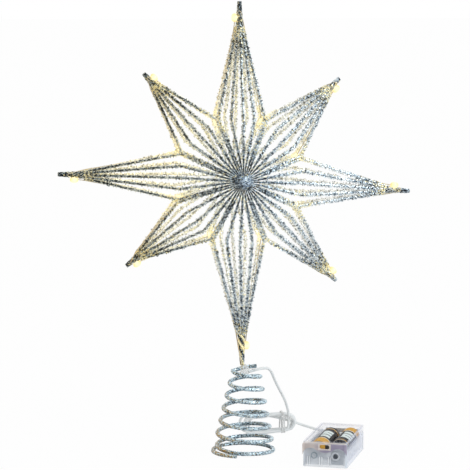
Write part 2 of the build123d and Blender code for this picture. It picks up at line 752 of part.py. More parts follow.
# Contact plates: spring plate and nub plate on the partition, and one link plate across the far end
plate_half = CELL_DIAMETER * PLATE_HALF_SHARE
plate_low = cell_height - CELL_DIAMETER * LINK_DROP_SHARE
with BuildPart() as near_plates:
    with BuildSketch(across(bay_start + CONTACT_PLATE)):
        for side in (-1, 1):
            with Locations((side * cell_offset, cell_height)):
                RectangleRounded(2 * plate_half, 2 * plate_half, CELL_EDGE)
        with Locations((plate_half - cell_offset, cell_height - plate_half)):
            Rectangle(2 * TAB_WIDTH, 2 * TAB_WIDTH)
    extrude(amount=CONTACT_PLATE)
    with BuildSketch(across(bay_start + CONTACT_PLATE)):
        with Locations((-cell_offset, cell_height)):
            Circle(CELL_NUB_DIAMETER / 2)
    extrude(amount=-NUB_RISE, taper=NUB_TAPER)
write(near_plates, "near_contact_plates")

with BuildPart() as link_plate:
    with BuildSketch(across(bay_end)):
        with Locations((0, plate_low)):
            link_height = cell_height + plate_half - plate_low
            Rectangle(2 * (cell_offset + plate_half), link_height, align=(Align.CENTER, Align.MIN))
        with Locations((0, plate_low)):
            Rectangle(CHANNEL_WIDTH, CELL_NUB_DIAMETER, align=(Align.CENTER, Align.MIN), mode=Mode.SUBTRACT)
    extrude(amount=CONTACT_PLATE)
    with BuildSketch(across(bay_end - CONTACT_PLATE)):
        with Locations((cell_offset, cell_height)):
            Circle(CELL_NUB_DIAMETER / 2)
    extrude(amount=NUB_RISE, taper=NUB_TAPER)
write(link_plate, "far_link_plate")


def spring_point(turns, length):
    """Centre of the spring wire: a quarter turn flat on the plate, then a cone of turns."""
    share = max(0.0, turns - 0.25) / (SPRING_TURNS - 0.25)
    radius = SPRING_BASE_RADIUS + (SPRING_TIP_RADIUS - SPRING_BASE_RADIUS) * share
    height = SPRING_WIRE / 2 + (length - SPRING_WIRE) * share
    return Vector(radius * cos(radians(360 * turns)), radius * sin(radians(360 * turns)), height)


near_foot = bay_start + CONTACT_PLATE
far_foot = bay_end - CONTACT_PLATE
for name, side, foot, flip in (("near", 1, near_foot, 1), ("far", -1, far_foot, -1)):
    spring_seat = box.from_local_coords(Vector(side * cell_offset, foot, cell_height))
    seat = Plane(spring_seat, x_dir=box.x_dir, z_dir=box.y_dir * flip)
    small = 0.01
    quarters = ceil(SPRING_TURNS * 4)
    stations = []
    for i in range(quarters + 1):
        turns = SPRING_TURNS * i / quarters
        point = seat.from_local_coords(spring_point(turns, SPRING_LENGTH))
        ahead = seat.from_local_coords(spring_point(turns + small, SPRING_LENGTH))
        behind = seat.from_local_coords(spring_point(turns - small, SPRING_LENGTH))
        stations.append((point, ahead - behind))
    with BuildPart() as contact_spring:
        with BuildLine() as spring_path:
            curve_through(stations)
        add(tube(spring_path, SPRING_WIRE / 2, FINE_WIRE_SIDES), clean=False)
    write(contact_spring, f"{name}_contact_spring")
    print(name, "spring least gap", round(least_gap(spring_path, SPRING_WIRE, 6, 0.5), 2))

# Power button: a round cap through the boss in the near end, held by a collar inside the wall
with BuildPart() as button:
    with BuildSketch(across(-RIB_PROUD - BUTTON_PROUD)):
        with Locations((button_x, button_z)):
            Circle(BUTTON_RADIUS)
    extrude(amount=-(BUTTON_PROUD + RIB_PROUD + BOX_WALL + LID_CLEAR + BUTTON_COLLAR + BUTTON_TRAVEL))
    fillet(button.edges().group_by(box_axis(0, 0))[0], RIB_WIDTH / 2)
    with BuildSketch(across(BOX_WALL + LID_CLEAR)):
        with Locations((button_x, button_z)):
            Circle(button_bore + RIB_WIDTH)
    extrude(amount=-BUTTON_COLLAR)
write(button, "power_button")

# Switch body: stands on the tray's floor behind the button, with a bore for the button's stem
switch_start = BOX_WALL + LID_CLEAR + BUTTON_COLLAR + BUTTON_TRAVEL + LID_CLEAR
switch_end = BOX_WALL + SWITCH_BAY
with BuildPart() as switch_body:
    with BuildSketch(across(switch_end)):
        with Locations((button_x, BOX_WALL)):
            Rectangle(SWITCH_WIDTH, button_z + boss_radius - BOX_WALL, align=(Align.CENTER, Align.MIN))
    extrude(amount=switch_end - switch_start)
    with BuildSketch(across(switch_start)):
        with Locations((button_x, button_z)):
            Circle(button_bore)
    extrude(amount=-2 * BUTTON_TRAVEL, mode=Mode.SUBTRACT)
write(switch_body, "switch_body")

# Strain relief: a flange inside the far wall, a neck through it and a tapered sleeve for the cord
relief_plane = Plane(box.from_local_coords(Vector(0, box_length, RELIEF_Z)), x_dir=box.y_dir, z_dir=box.x_dir)
with BuildPart() as relief:
    with BuildSketch(relief_plane):
        with BuildLine():
            Polyline(
                (-BOX_WALL, 0), (-BOX_WALL, RELIEF_NECK), (0, RELIEF_NECK), (0, RELIEF_RADIUS),
                (RELIEF_LENGTH, cord_radius + RELIEF_LIP), (RELIEF_LENGTH, 0), (-BOX_WALL, 0),
            )
        make_face()
    revolve(axis=box_axis(0, RELIEF_Z))
write(relief, "strain_relief")

relief_end = box.from_local_coords(Vector(0, box_length + RELIEF_LENGTH, RELIEF_Z))
with BuildPart() as lower_cord:
    lead_out = [relief_end, relief_end + box.y_dir * CORD_LEAD_OUT]
    add(cord_tube(lead_out + [Vector(point) for point in LOWER_ROUTE] + [hank_out]), clean=False)
write(lower_cord, "cord_lower")

# Hook-up wires: from the cord, in the channel under the cells, to the near plates' tab and to the switch
hookup_radius = HOOKUP_WIRE / 2
wire_height = BOX_WALL + HOOKUP_WIRE
plate_bottom = cell_height - plate_half
tab_x = plate_half - cell_offset + TAB_WIDTH / 2
hookup_routes = [
    [
        (-HOOKUP_WIRE, bay_end + hookup_radius / 2, RELIEF_Z),
        (-HOOKUP_WIRE, bay_end - HOOKUP_RUN_OUT, wire_height),
        (-HOOKUP_WIRE, bay_start + HOOKUP_RUN_OUT, wire_height),
        (tab_x, bay_start + CONTACT_PLATE, plate_bottom - TAB_WIDTH / 2),
    ],
    [
        (HOOKUP_WIRE, bay_end + hookup_radius / 2, RELIEF_Z),
        (HOOKUP_WIRE, bay_end - HOOKUP_RUN_OUT, wire_height),
        (HOOKUP_WIRE, bay_start + HOOKUP_RUN_OUT, wire_height),
        (button_x - SWITCH_WIDTH / 2 + HOOKUP_WIRE, switch_end, wire_height),
    ],
]
with BuildPart() as hookup:
    for route in hookup_routes:
        points = [box.from_local_coords(Vector(point)) for point in route]
        add(bent_wire(points, hookup_radius, FINE_WIRE_SIDES, 2 * HOOKUP_WIRE), clean=False)
write(hookup, "hookup_wires")
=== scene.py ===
from math import atan2, cos, exp, pi, radians, sin
from random import Random

import bpy
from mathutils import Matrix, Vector


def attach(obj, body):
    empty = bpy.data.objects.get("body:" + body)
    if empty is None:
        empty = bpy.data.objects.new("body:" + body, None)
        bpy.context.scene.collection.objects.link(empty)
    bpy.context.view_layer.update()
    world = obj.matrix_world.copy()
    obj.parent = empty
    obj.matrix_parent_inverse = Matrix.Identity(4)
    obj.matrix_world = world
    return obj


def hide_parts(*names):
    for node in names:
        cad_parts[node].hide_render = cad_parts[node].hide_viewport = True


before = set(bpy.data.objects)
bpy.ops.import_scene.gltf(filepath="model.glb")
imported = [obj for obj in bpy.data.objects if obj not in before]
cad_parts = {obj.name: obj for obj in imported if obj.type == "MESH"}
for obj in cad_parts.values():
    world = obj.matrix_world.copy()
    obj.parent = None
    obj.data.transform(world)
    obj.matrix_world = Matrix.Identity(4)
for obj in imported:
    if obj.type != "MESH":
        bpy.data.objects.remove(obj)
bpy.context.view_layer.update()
BODY = "star_and_box"

# Studio: a white floor and a white surround, with one soft lamp close by on the right of the object.
# A dark card in front on the left and a warm one at the side give the metal something to reflect.
CAMERA_PLACE = (-0.2709, -1.5363, 0.362)
CAMERA_TURN = (radians(83.14), 0, radians(-9.75))
CAMERA_LENS = 152.4
LAMP_PLACE = Vector((0.72, -0.62, 0.66))
LAMP_SIZE = 0.45
LAMP_TINT = (0.86, 0.95, 1.0)
LAMP_POWER = 3.2
AIM = Vector((0, 0, 0.2))
AMBIENT = 0.7
WHITE = (1, 1, 1, 1)
FLOOR_SIZE = 60
FLOOR_PAPER = (0.94, 0.94, 0.94, 1)
FLOOR_ROUGH = 0.9
FLOOR_GLOW = 0.965
CARDS = (
    ("card_in_front", (-0.55, -0.95, 0.35), -32, (1.3, 1.3), (0.020, 0.024, 0.034)),
    ("card_on_the_left", (-0.62, -0.05, 0.26), -90, (1.0, 0.9), (0.80, 0.54, 0.24)),
)


class Flow:
    """One output of a finish; sums, products and comparisons of it become Math nodes."""

    def __init__(self, finish, socket):
        self.finish = finish
        self.socket = socket

    def math(self, operation, first, second):
        """Result of an operation on two values."""
        return self.finish.node("ShaderNodeMath", {"operation": operation}, {0: first, 1: second})["Value"]

    def __add__(self, other):
        return self.math("ADD", self, other)

    def __radd__(self, other):
        return self.math("ADD", other, self)

    def __sub__(self, other):
        return self.math("SUBTRACT", self, other)

    def __rsub__(self, other):
        return self.math("SUBTRACT", other, self)

    def __mul__(self, other):
        return self.math("MULTIPLY", self, other)

    def __rmul__(self, other):
        return self.math("MULTIPLY", other, self)

    def __lt__(self, other):
        return self.math("LESS_THAN", self, other)

    def __gt__(self, other):
        return self.math("GREATER_THAN", self, other)

    def within(self, low, high):
        """One between two values and nought outside them."""
        return (self > low) * (self < high)


class Finish:
    """A node tree that is written from its sources to its shader."""

    def __init__(self, name, owner=None):
        self.owner = owner or bpy.data.materials.new(name)
        self.owner.use_nodes = True
        self.tree = self.owner.node_tree
        self.shader = self.tree.nodes.get("Principled BSDF")

    def node(self, kind, settings=None, sockets=None):
        """Adds a node: its settings first, then the values or links of its sockets."""
        made = self.tree.nodes.new(kind)
        for key, value in (settings or {}).items():
            if key == "stops":
                while len(made.color_ramp.elements) < len(value):
                    made.color_ramp.elements.new(1)
                for element, (place, tone) in zip(made.color_ramp.elements, value):
                    element.position = place
                    element.color = (*tone, 1)
            else:
                setattr(made, key, value)
        for key, value in (sockets or {}).items():
            self.feed(made.inputs[key], value)
        return {out.name: Flow(self, out) for out in made.outputs if out.enabled}

    def feed(self, socket, value):
        """Sets a socket, or links it to a flow."""
        if isinstance(value, Flow):
            self.tree.links.new(value.socket, socket)
        else:
            socket.default_value = value

    def mix(self, share, first, second, way="MIX"):
        """Blend of two colours."""
        colours = {0: share, 6: first, 7: second}
        return self.node("ShaderNodeMix", {"data_type": "RGBA", "blend_type": way}, colours)["Result"]

    def place(self):
        """Coordinates on the piece, in metres."""
        return self.node("ShaderNodeTexCoord")["Object"]

    def noise(self, size, detail=4.0):
        """Soft patches of about a size."""
        sockets = {"Vector": self.place(), "Scale": 1 / size, "Detail": detail}
        return self.node("ShaderNodeTexNoise", None, sockets)["Fac"]

    def vectors(self, operation, first, second):
        """Outputs of a sum or product of two vectors."""
        return self.node("ShaderNodeVectorMath", {"operation": operation}, {0: first, 1: second})

    def along(self, origin, direction):
        """Distance from an origin in a direction."""
        offset = self.vectors("SUBTRACT", self.place(), origin)["Vector"]
        return self.vectors("DOT_PRODUCT", offset, direction)["Value"]

    def ramp(self, stops, share):
        """Colour at a share of the way along a row of stops."""
        return self.node("ShaderNodeValToRGB", {"stops": stops}, {"Fac": share})["Color"]

    def painted(self, name):
        """Value that was written on the points of the piece under a name."""
        return self.node("ShaderNodeAttribute", {"attribute_name": name})["Fac"]

    def coat(self, **sockets):
        """Sets the sockets of the finish's own shader."""
        for key, value in sockets.items():
            self.feed(self.shader.inputs[key.replace("_", " ")], value)
        return self.owner


def colour(red, green, blue):
    """An opaque colour."""
    return (red, green, blue, 1)


bpy.ops.object.camera_add(location=CAMERA_PLACE, rotation=CAMERA_TURN)
camera = bpy.context.object
camera.data.lens = CAMERA_LENS
bpy.context.scene.camera = camera
bpy.context.scene.view_settings.view_transform = "Standard"

bpy.ops.object.light_add(type="AREA", location=LAMP_PLACE)
lamp = bpy.context.object
lamp.data.size = LAMP_SIZE
lamp.data.energy = LAMP_POWER
lamp.data.color = LAMP_TINT
lamp.rotation_euler = (AIM - LAMP_PLACE).to_track_quat("-Z", "Y").to_euler()

world = bpy.data.worlds.new("white_surround")
bpy.context.scene.world = world
surround = Finish("white_surround", world)
rays = surround.node("ShaderNodeLightPath")
seen = rays["Is Camera Ray"] + rays["Is Glossy Ray"] + rays["Is Transmission Ray"]
strength = AMBIENT + (1 - AMBIENT) * (seen > 0.5)
background = world.node_tree.nodes["Background"]
surround.feed(background.inputs["Strength"], strength)
surround.feed(background.inputs["Color"], WHITE)

bpy.ops.mesh.primitive_plane_add(size=FLOOR_SIZE)
floor = bpy.context.object
floor.name = "floor"
paper = Finish("floor_paper")
paper.coat(Base_Color=FLOOR_PAPER, Roughness=FLOOR_ROUGH)
rays = paper.node("ShaderNodeLightPath")
glow = paper.node("ShaderNodeEmission", None, {"Color": WHITE, "Strength": 1.0})["Emission"]
share = FLOOR_GLOW * rays["Is Camera Ray"]
principled = Flow(paper, paper.shader.outputs["BSDF"])
surface = paper.node("ShaderNodeMixShader", None, {0: share, 1: principled, 2: glow})["Shader"]
paper.feed(paper.tree.nodes["Material Output"].inputs["Surface"], surface)
floor.data.materials.append(paper.owner)

for name, place, turn, (wide, high), tint in CARDS:
    bpy.ops.mesh.primitive_plane_add(size=1, location=place, rotation=(radians(90), 0, radians(turn)))
    card = bpy.context.object
    card.name = name
    card.scale = (wide, high, 1)
    card.visible_camera = False
    card.visible_shadow = False
    card.visible_diffuse = False
    felt = Finish(name)
    felt.coat(Base_Color=colour(*tint), Roughness=1.0)
    card.data.materials.append(felt.owner)

# Lead cord: a limp white two-core lead from the glue down behind the coil, through a tied hank, to the box.
# Its spare length is folded in upright loops in the hank, and the whole of it is one line.
CORD_DIAMETER = 0.0022
UPPER_ROUTE = [
    (0.0044, 0.0015, 0.0643), (0.0120, 0.0066, 0.0650), (0.0204, 0.0130, 0.0649), (0.0254, 0.0180, 0.0622),
    (0.0310, 0.0270, 0.0505), (0.0366, 0.0360, 0.0412), (0.0424, 0.0450, 0.0318), (0.0462, 0.0530, 0.0229),
    (0.0486, 0.0596, 0.0165), (0.0486, 0.0596, 0.0098),
]
LOWER_ROUTE = [
    (0.0494, 0.0708, 0.0089), (0.0560, 0.0708, 0.0066), (0.0625, 0.0698, 0.0042), (0.0685, 0.0664, 0.0026),
    (0.0755, 0.0610, 0.0012), (0.0840, 0.0490, 0.0016), (0.0895, 0.0360, 0.0028), (0.0900, 0.0240, 0.0044),
    (0.0875, 0.0138, 0.0055), (0.0847, 0.0074, 0.0055),
]
HANK_LOOPS = (
    (0.0170, 0.0066, 0.0475), (0.0220, 0.0067, 0.0485), (0.0155, 0.0073, 0.0468), (0.0200, 0.0068, None),
)
HANK_PITCH = 0.0028
HANK_FAN = 1.25
HANK_NEAR = 0.0596
HANK_MIDDLE = 0.0652
HANK_OPEN = 0.0240
HANK_DRAWN = 0.0385
HANK_FOLD = 0.0066
HANK_LOW = 0.0020
HANK_SHIFT = 0.002
HANK_ENTRY = [(0.0486, HANK_NEAR, 0.0053), (0.0453, HANK_NEAR, HANK_LOW)]
HANK_EXIT = [(0.0350, 0.0702, 0.0128), (0.0430, 0.0708, 0.0108)]
WAIST_BELOW = 0.0330
WAIST_ABOVE = 0.0335
WAIST_LIFT = 0.0002
WAIST_SKEW = 0.0008
FLOOR_LOW = 0.0012
OCTAGON = 0.414
CORD_STEPS = 8
CORD_ROUNDNESS = 4
CORD_SCUFFS = 0.004
CORD_VINYL = (colour(0.82, 0.845, 0.85), colour(0.93, 0.945, 0.945))
CORD_GLOSS = (0.4, 0.6)


def fold(place, way, y, low, radius):
    """Control points of a half turn from a lower run to an upper one: half an octagon round the turn."""
    middle = low + radius
    share = OCTAGON * radius
    reach = place + way * radius
    return [
        (place + way * share, y, low), (reach, y, middle - share), (reach, y, middle + share),
        (place + way * share, y, low + 2 * radius),
    ]


def bare_curve(name):
    """A new curve with no lines in it yet."""
    bpy.ops.object.select_all(action="DESELECT")
    bpy.ops.curve.primitive_nurbs_path_add()
    curve = bpy.context.object
    curve.name = curve.data.name = name
    curve.data.splines.clear()
    curve.data.use_fill_caps = True
    return curve


def lay_line(curve, kind, route):
    """Adds one line to a curve, through or towards the points of a route."""
    line = curve.data.splines.new(kind)
    line.points.add(len(route) - 1)
    for point, place in zip(line.points, route):
        point.co = (*place, 1)
    return line


def grained(name, size, tints, gloss, metal=0.0, detail=4.0):
    """A finish that varies in soft patches between two tints and between two values of roughness."""
    finish = Finish(name)
    patches = finish.noise(size, detail)
    low, high = gloss
    tint = finish.mix(patches, *tints)
    return finish.coat(Base_Color=tint, Metallic=metal, Roughness=low + (high - low) * patches)


cord_route = UPPER_ROUTE + HANK_ENTRY
for loop, (left, radius, right) in enumerate(HANK_LOOPS):
    tied = HANK_NEAR + loop * HANK_PITCH
    loose = HANK_MIDDLE + (tied - HANK_MIDDLE) * HANK_FAN
    cord_route += [(HANK_DRAWN, tied, HANK_LOW), (WAIST_BELOW, (tied + loose) / 2, FLOOR_LOW + WAIST_LIFT)]
    cord_route += [(HANK_OPEN, loose, FLOOR_LOW)] + fold(left, -1, loose, FLOOR_LOW, radius)
    cord_route += [(HANK_OPEN + HANK_SHIFT, loose, FLOOR_LOW + 2 * radius)]
    if right:
        following = tied + HANK_PITCH
        above = HANK_LOW + 2 * HANK_FOLD
        cord_route += [(WAIST_ABOVE, following - WAIST_SKEW, above)]
        cord_route += [(HANK_DRAWN + HANK_SHIFT, following, above)]
        cord_route += fold(right, 1, following, HANK_LOW, HANK_FOLD)[::-1]
    else:
        cord_route += HANK_EXIT
cord_route += LOWER_ROUTE
cord = bare_curve("lead_cord")
line = lay_line(cord, "NURBS", cord_route)
line.order_u = 3
line.use_endpoint_u = True
line.resolution_u = CORD_STEPS
cord.data.bevel_depth = CORD_DIAMETER / 2
cord.data.bevel_resolution = CORD_ROUNDNESS
cord.data.materials.append(grained("cord_vinyl", CORD_SCUFFS, CORD_VINYL, CORD_GLOSS))
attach(cord, BODY)
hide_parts("cord_upper", "cord_hank", "cord_lower")

# Tie: a soft white twist tie drawn twice round the hank, with its two ends twisted together on the right.
# It lies in the waist of the hank and is bent by hand, so its turns are not quite level.
TIE_WIRE = 0.00055
TIE_HALF = (0.0070, 0.0081)
TIE_ROUND = 0.0030
TIE_CENTRE = Vector((0.0442, HANK_MIDDLE, 0.0086))
TIE_GAP = 0.0007
TIE_LEAN = (0.04, -0.05)
TIE_ARC = 6
KNOT_ALONG = 0.0006
KNOT_INWARD = 0.001
KNOT_BELOW = 0.003
TIE_TAIL = 0.0075
TAIL_STEPS = 24
TAIL_TURNS = 2.5
TAIL_BOW = 0.0012
TAIL_SAG = 0.002
TAIL_SPREAD = 1.05
TIE_FIBRES = 0.0008
TIE_PAPER = (colour(0.72, 0.73, 0.73), colour(0.90, 0.90, 0.89))
TIE_GLOSS = (0.55, 0.85)


def tie_loop(shift, lean):
    """Route once round the hank, with round corners."""
    wide, high = TIE_HALF
    route = []
    for corner in range(4):
        side = (1 if corner in (0, 3) else -1, 1 if corner < 2 else -1)
        for step in range(TIE_ARC + 1):
            angle = radians(90 * corner + 90 * step / TIE_ARC)
            aside = side[0] * (wide - TIE_ROUND) + TIE_ROUND * cos(angle)
            up = side[1] * (high - TIE_ROUND) + TIE_ROUND * sin(angle)
            route.append(TIE_CENTRE + Vector((shift + lean * up, aside, up)))
    return route + route[:1]


tie_routes = [tie_loop(-TIE_GAP, TIE_LEAN[0]), tie_loop(TIE_GAP, TIE_LEAN[1])]
knot = TIE_CENTRE + Vector((KNOT_ALONG, KNOT_INWARD - TIE_HALF[0], TIE_HALF[1] - KNOT_BELOW))
for strand in range(2):
    tail = []
    for i in range(TAIL_STEPS + 1):
        share = i / TAIL_STEPS
        angle = 2 * pi * (TAIL_TURNS * share) + pi * strand
        outward = -TAIL_BOW * sin(pi * share / 2)
        upward = TAIL_BOW * sin(pi * share) - TAIL_SAG * share
        twist = Vector((0, cos(angle), sin(angle))) * TIE_WIRE * TAIL_SPREAD
        tail.append(knot + Vector((TIE_TAIL * share, outward, upward)) + twist)
    tie_routes.append(tail)
tie = bare_curve("hank_twist_tie")
for route in tie_routes:
    lay_line(tie, "POLY", route)
tie.data.bevel_depth = TIE_WIRE
tie.data.bevel_resolution = 2
bpy.ops.object.convert(target="MESH")
bpy.ops.object.shade_smooth()
tie.data.materials.append(grained("tie_paper", TIE_FIBRES, TIE_PAPER, TIE_GLOSS, detail=5.0))
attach(tie, BODY)
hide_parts("hank_tie")

# Coil foot: one thick glitter wire wound in a flat base ring and then a cone of turns that leans right.
# Its upper end runs behind the glue and stands free; the flakes are set in clear lacquer on the wire.
COIL_RADIUS = 0.00158
COIL_BASE = 0.0246
COIL_TOP = 0.0107
COIL_TOP_HEIGHT = 0.06565
COIL_TURNS = 7.19
COIL_START = radians(247)
COIL_LEAN = 0.002
COIL_LEVELS = (
    (0, 0.0010), (0.6, 0.0010), (0.7, 0.0013), (0.8, 0.00195), (0.9, 0.0026), (1, 0.0029), (1.69, 0.0101),
    (COIL_TURNS, COIL_TOP_HEIGHT),
)
COIL_STEPS_IN = (
    (0, 0), (0.6, 0), (0.7, 0.00045), (0.8, 0.00145), (0.9, 0.00245), (1, 0.0029), (1.69, 0), (COIL_TURNS, 0),
)
COIL_LENGTH = 0.83
COIL_STEP = 0.0006
COIL_TAIL = (
    (0.0009, 0.0053, 0.0673), (0.0050, 0.0049, 0.0678), (0.0080, 0.0035, 0.0681), (0.0110, 0.0028, 0.0687),
)
COIL_SIDES = 12
COIL_SEED = 3
COIL_CRUST = 0.00018
COIL_FLAKE = 0.0007
# Painted light and shade on the coil: bright flakes by a lamp direction, fewer away from it and on the back
# half.
COIL_LIGHT = Vector((0.55, -0.35, 0.76))
COIL_FULL_LIGHT = 1.06
COIL_SHADE = 0.60
COIL_BEHIND = 0.16
# Painted warm reflection on the coil: gold flakes, a few all round and more on its left.
COIL_WARM_REFLECTION = (0.03, 0.55)
COIL_WARM_REFLECTION_FROM = -0.009
COIL_WARM_REFLECTION_RUN = 0.010
COIL_REFLECTED_GOLD = colour(0.46, 0.33, 0.15)
COIL_FOIL = (
    (0.0, (0.020, 0.028, 0.040)), (0.2, (0.12, 0.17, 0.22)), (0.4, (0.53, 0.69, 0.80)),
    (0.65, (0.76, 0.91, 1.0)), (1.0, (0.88, 0.98, 1.0)),
)
DUSK_FROM = 0.06
DUSK_TO = -0.08
DUSK_HEIGHT = 0.219
DUSK_RISE = 2.0
# Painted colour cast of the light on the flakes: cool on the lit right, warm on the darker left.
LIGHT_CAST = ((0.0, (0.97, 0.985, 0.98)), (0.45, (0.91, 0.96, 1.0)), (0.95, (1.0, 0.945, 0.80)))
# Tint of the painted glow of bright flakes, neutral on the right and warm on the left.
PAINTED_GLOW = ((0.0, (0.85, 0.85, 0.86)), (0.4, (0.85, 0.84, 0.78)), (0.95, (0.90, 0.84, 0.64)))
FILL_FROM = 0.55
METAL = 0.8
FLAKE_SMOOTH = 0.16
FLAKE_DULL = 0.3
FLAKE_HEIGHT = 0.0008


def between(levels, place):
    """Value at a place in a list of (place, value) pairs, in straight runs."""
    for (start, low), (end, high) in zip(levels, levels[1:]):
        if place <= end:
            return low + (high - low) * (place - start) / (end - start)
    return levels[-1][1]


def coil_point(turns):
    """Centre of the coil wire after a number of turns from its end on the floor."""
    height = between(COIL_LEVELS, turns)
    share = height / COIL_TOP_HEIGHT
    radius = COIL_BASE + (COIL_TOP - COIL_BASE) * share - between(COIL_STEPS_IN, turns)
    angle = COIL_START - 2 * pi * turns
    return Vector((COIL_LEAN * share + radius * cos(angle), radius * sin(angle), height))


def beaded(route, step):
    """Points a step apart along the straight runs of a route."""
    points = [Vector(route[0])]
    for start, end in zip(route, route[1:]):
        run = Vector(end) - Vector(start)
        count = max(1, round(run.length / step))
        points += [Vector(start) + run * i / count for i in range(1, count + 1)]
    return points


def crusted_wires(name, routes, radius, sides, crust, seed, thin=None, proud=None):
    """Wires along a set of routes, with flat flakes that stand out at random, some of them proud."""
    wires = bare_curve(name)
    for route in routes:
        line = lay_line(wires, "POLY", route)
        for point, place in zip(line.points, route):
            point.radius = thin(place) if thin else 1
    wires.data.bevel_depth = radius
    wires.data.bevel_resolution = sides // 2 - 2
    bpy.ops.object.convert(target="MESH")
    bpy.ops.object.mode_set(mode="EDIT")
    if proud:
        bpy.ops.mesh.select_mode(type="FACE")
        bpy.ops.mesh.select_all(action="DESELECT")
        bpy.ops.object.mode_set(mode="OBJECT")
        draw = Random(seed)
        for part in bpy.context.object.data.polygons:
            part.select = draw.random() < proud(part.center)
        bpy.ops.object.mode_set(mode="EDIT")
        bpy.ops.mesh.extrude_faces_move(TRANSFORM_OT_shrink_fatten={"value": FLAKE_HEIGHT})
    bpy.ops.mesh.select_all(action="SELECT")
    bpy.ops.transform.vertex_random(offset=crust, seed=seed)
    bpy.ops.object.mode_set(mode="OBJECT")
    bpy.ops.object.shade_flat()
    return bpy.context.object


def paint(piece, name, value):
    """Writes a value for each point of a piece, worked out from its place and the way it faces."""
    layer = piece.data.attributes.new(name, "FLOAT", "POINT")
    layer.data.foreach_set("value", [value(vertex.co, vertex.normal) for vertex in piece.data.vertices])


def catch_light(piece, lights, reach, least):
    """Paints how much light of the small lamps each point of a piece catches, above a least share."""
    def caught(place, normal):
        near = sum(exp(-((place - light).length / reach) ** 2) for light in lights)
        return min(1.0, least(place, normal) + near)

    paint(piece, "caught", caught)


def glitter(name, stops, gold, flake, glow, fill, metal):
    """Flakes of foil, each with its own brightness and painted light and glow, some of them gold where lamp
    light is caught.
    """
    finish = Finish(name)
    left = finish.along((DUSK_FROM, 0, DUSK_HEIGHT), (-1 / (DUSK_FROM - DUSK_TO), 0, DUSK_RISE))
    light_cast = finish.ramp(LIGHT_CAST, left)
    painted_glow = finish.ramp(PAINTED_GLOW, left)
    sockets = {"Vector": finish.place(), "Scale": 1 / flake}
    flakes = finish.node("ShaderNodeTexVoronoi", None, sockets)["Color"]
    chance = finish.node("ShaderNodeSeparateColor", None, {"Color": flakes})
    caught = finish.painted("caught")
    # Share of bright flakes that is painted as light and shade.
    open_air = finish.painted("open_air")
    silver = finish.ramp(stops, chance["Red"] + open_air - 1.0)
    # Painted colour cast: the flakes are tinted from cool on the right to warm on the left.
    silver = finish.mix(1.0, silver, light_cast, "MULTIPLY")
    warm = chance["Green"] < caught * open_air
    tint = finish.mix(warm, silver, gold)
    # Painted light: bright flakes glow in a painted tint, and gold flakes glow with painted lamp light.
    lit = finish.mix(fill * chance["Red"] * (open_air - FILL_FROM), colour(0, 0, 0), painted_glow)
    lit = finish.mix(glow * caught * open_air, lit, gold)
    return finish.coat(
        Base_Color=tint, Metallic=metal, Roughness=FLAKE_SMOOTH + FLAKE_DULL * chance["Blue"],
        Emission_Color=lit, Emission_Strength=1.0,
    )


def coil_warm_reflection(place, normal):
    """Share of gold flakes on the coil, a painted warm reflection: a few all round and more on its left."""
    least, more = COIL_WARM_REFLECTION
    return least + more * min(1.0, max(0.0, (COIL_WARM_REFLECTION_FROM - place.x) / COIL_WARM_REFLECTION_RUN))


def coil_light_and_shade(place, normal):
    """Painted light and shade on the coil: fewer bright flakes below, on the side away from the lamp, and
    behind.
    """
    return COIL_FULL_LIGHT - COIL_SHADE * max(0.0, -normal.dot(COIL_LIGHT)) - COIL_BEHIND * (place.y > 0)


coil_count = round(COIL_LENGTH / COIL_STEP)
coil_route = [coil_point(COIL_TURNS * i / coil_count) for i in range(coil_count + 1)]
coil_route += beaded(COIL_TAIL, COIL_STEP)
coil = crusted_wires("coil_foot_glitter", [coil_route], COIL_RADIUS, COIL_SIDES, COIL_CRUST, COIL_SEED)
bpy.ops.object.mode_set(mode="EDIT")
bpy.ops.mesh.select_all(action="SELECT")
bpy.ops.mesh.bisect(plane_co=(0, 0, 0), plane_no=(0, 0, 1), use_fill=True, clear_inner=True)
bpy.ops.object.mode_set(mode="OBJECT")
# Painted warm reflection and painted light and shade on the coil.
paint(coil, "caught", coil_warm_reflection)
paint(coil, "open_air", coil_light_and_shade)
coil.data.materials.append(
    glitter("coil_foil", COIL_FOIL, COIL_REFLECTED_GOLD, COIL_FLAKE, glow=0.0, fill=0.0, metal=METAL)
)
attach(coil, BODY)
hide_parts("coil_foot")

# Star: eighty thin glitter wires in eight arms, five on each face of an arm, bent over the notch ring.
# They run from the twisted tip to the hub, where the wires of a face all meet at a raised point. The light of
# the small lamps inside is painted on the inner side of each wire as a paler lit foil, and the outer side
# shows silver and dark flakes with painted shade, some proud.
CENTRE = Vector((-0.00457, 0, 0.21876))
ARMS = {
    "right": (-4.8, 0.1393), "upper_right": (44.0, 0.1128), "top": (89.5, 0.1388),
    "upper_left": (131.7, 0.1114), "left": (177.6, 0.1415), "lower_left": (217.0, 0.1110),
    "bottom": (271.3, 0.1485), "lower_right": (313.9, 0.1144),
}
TIPS = {
    "right": 0.021, "upper_right": 0.0127, "top": 0.021, "upper_left": 0.0127,
    "left": 0.021, "lower_left": 0.0127, "bottom": 0.026, "lower_right": 0.0127,
}
LED_CLOCKWISE = ("upper_right", "upper_left")
NAMES = list(ARMS)
FAN = 5
NOTCH_RADIUS = 0.0515
EDGE_DEPTH = 0.010
RIDGE_DEPTH = 0.018
EDGE_OFFSET = 0.00095
HUB_RADIUS = 0.0116
HUB_DEPTH = 0.024
APEX_RADIUS = 0.0011
APEX_DEPTH = 0.0258
GATHER_RADIUS = 0.0027
WIRE_SEAT = 0.0007
WIRE_RADIUS = 0.00112
WIRE_SIDES = 8
WIRE_STEP = 0.0007
WIRE_CRUST = 0.00022
WIRE_FLAKE = 0.0010
FAN_SEED = 11
SEED_STEP = 20
PROUD_ON_RIGHT = 0.29
PROUD_ON_LEFT = 0.055
PROUD_FROM = 0.012
PROUD_RISE = 0.030
NECKED = 0.0240
NECK_SHARE = 0.22
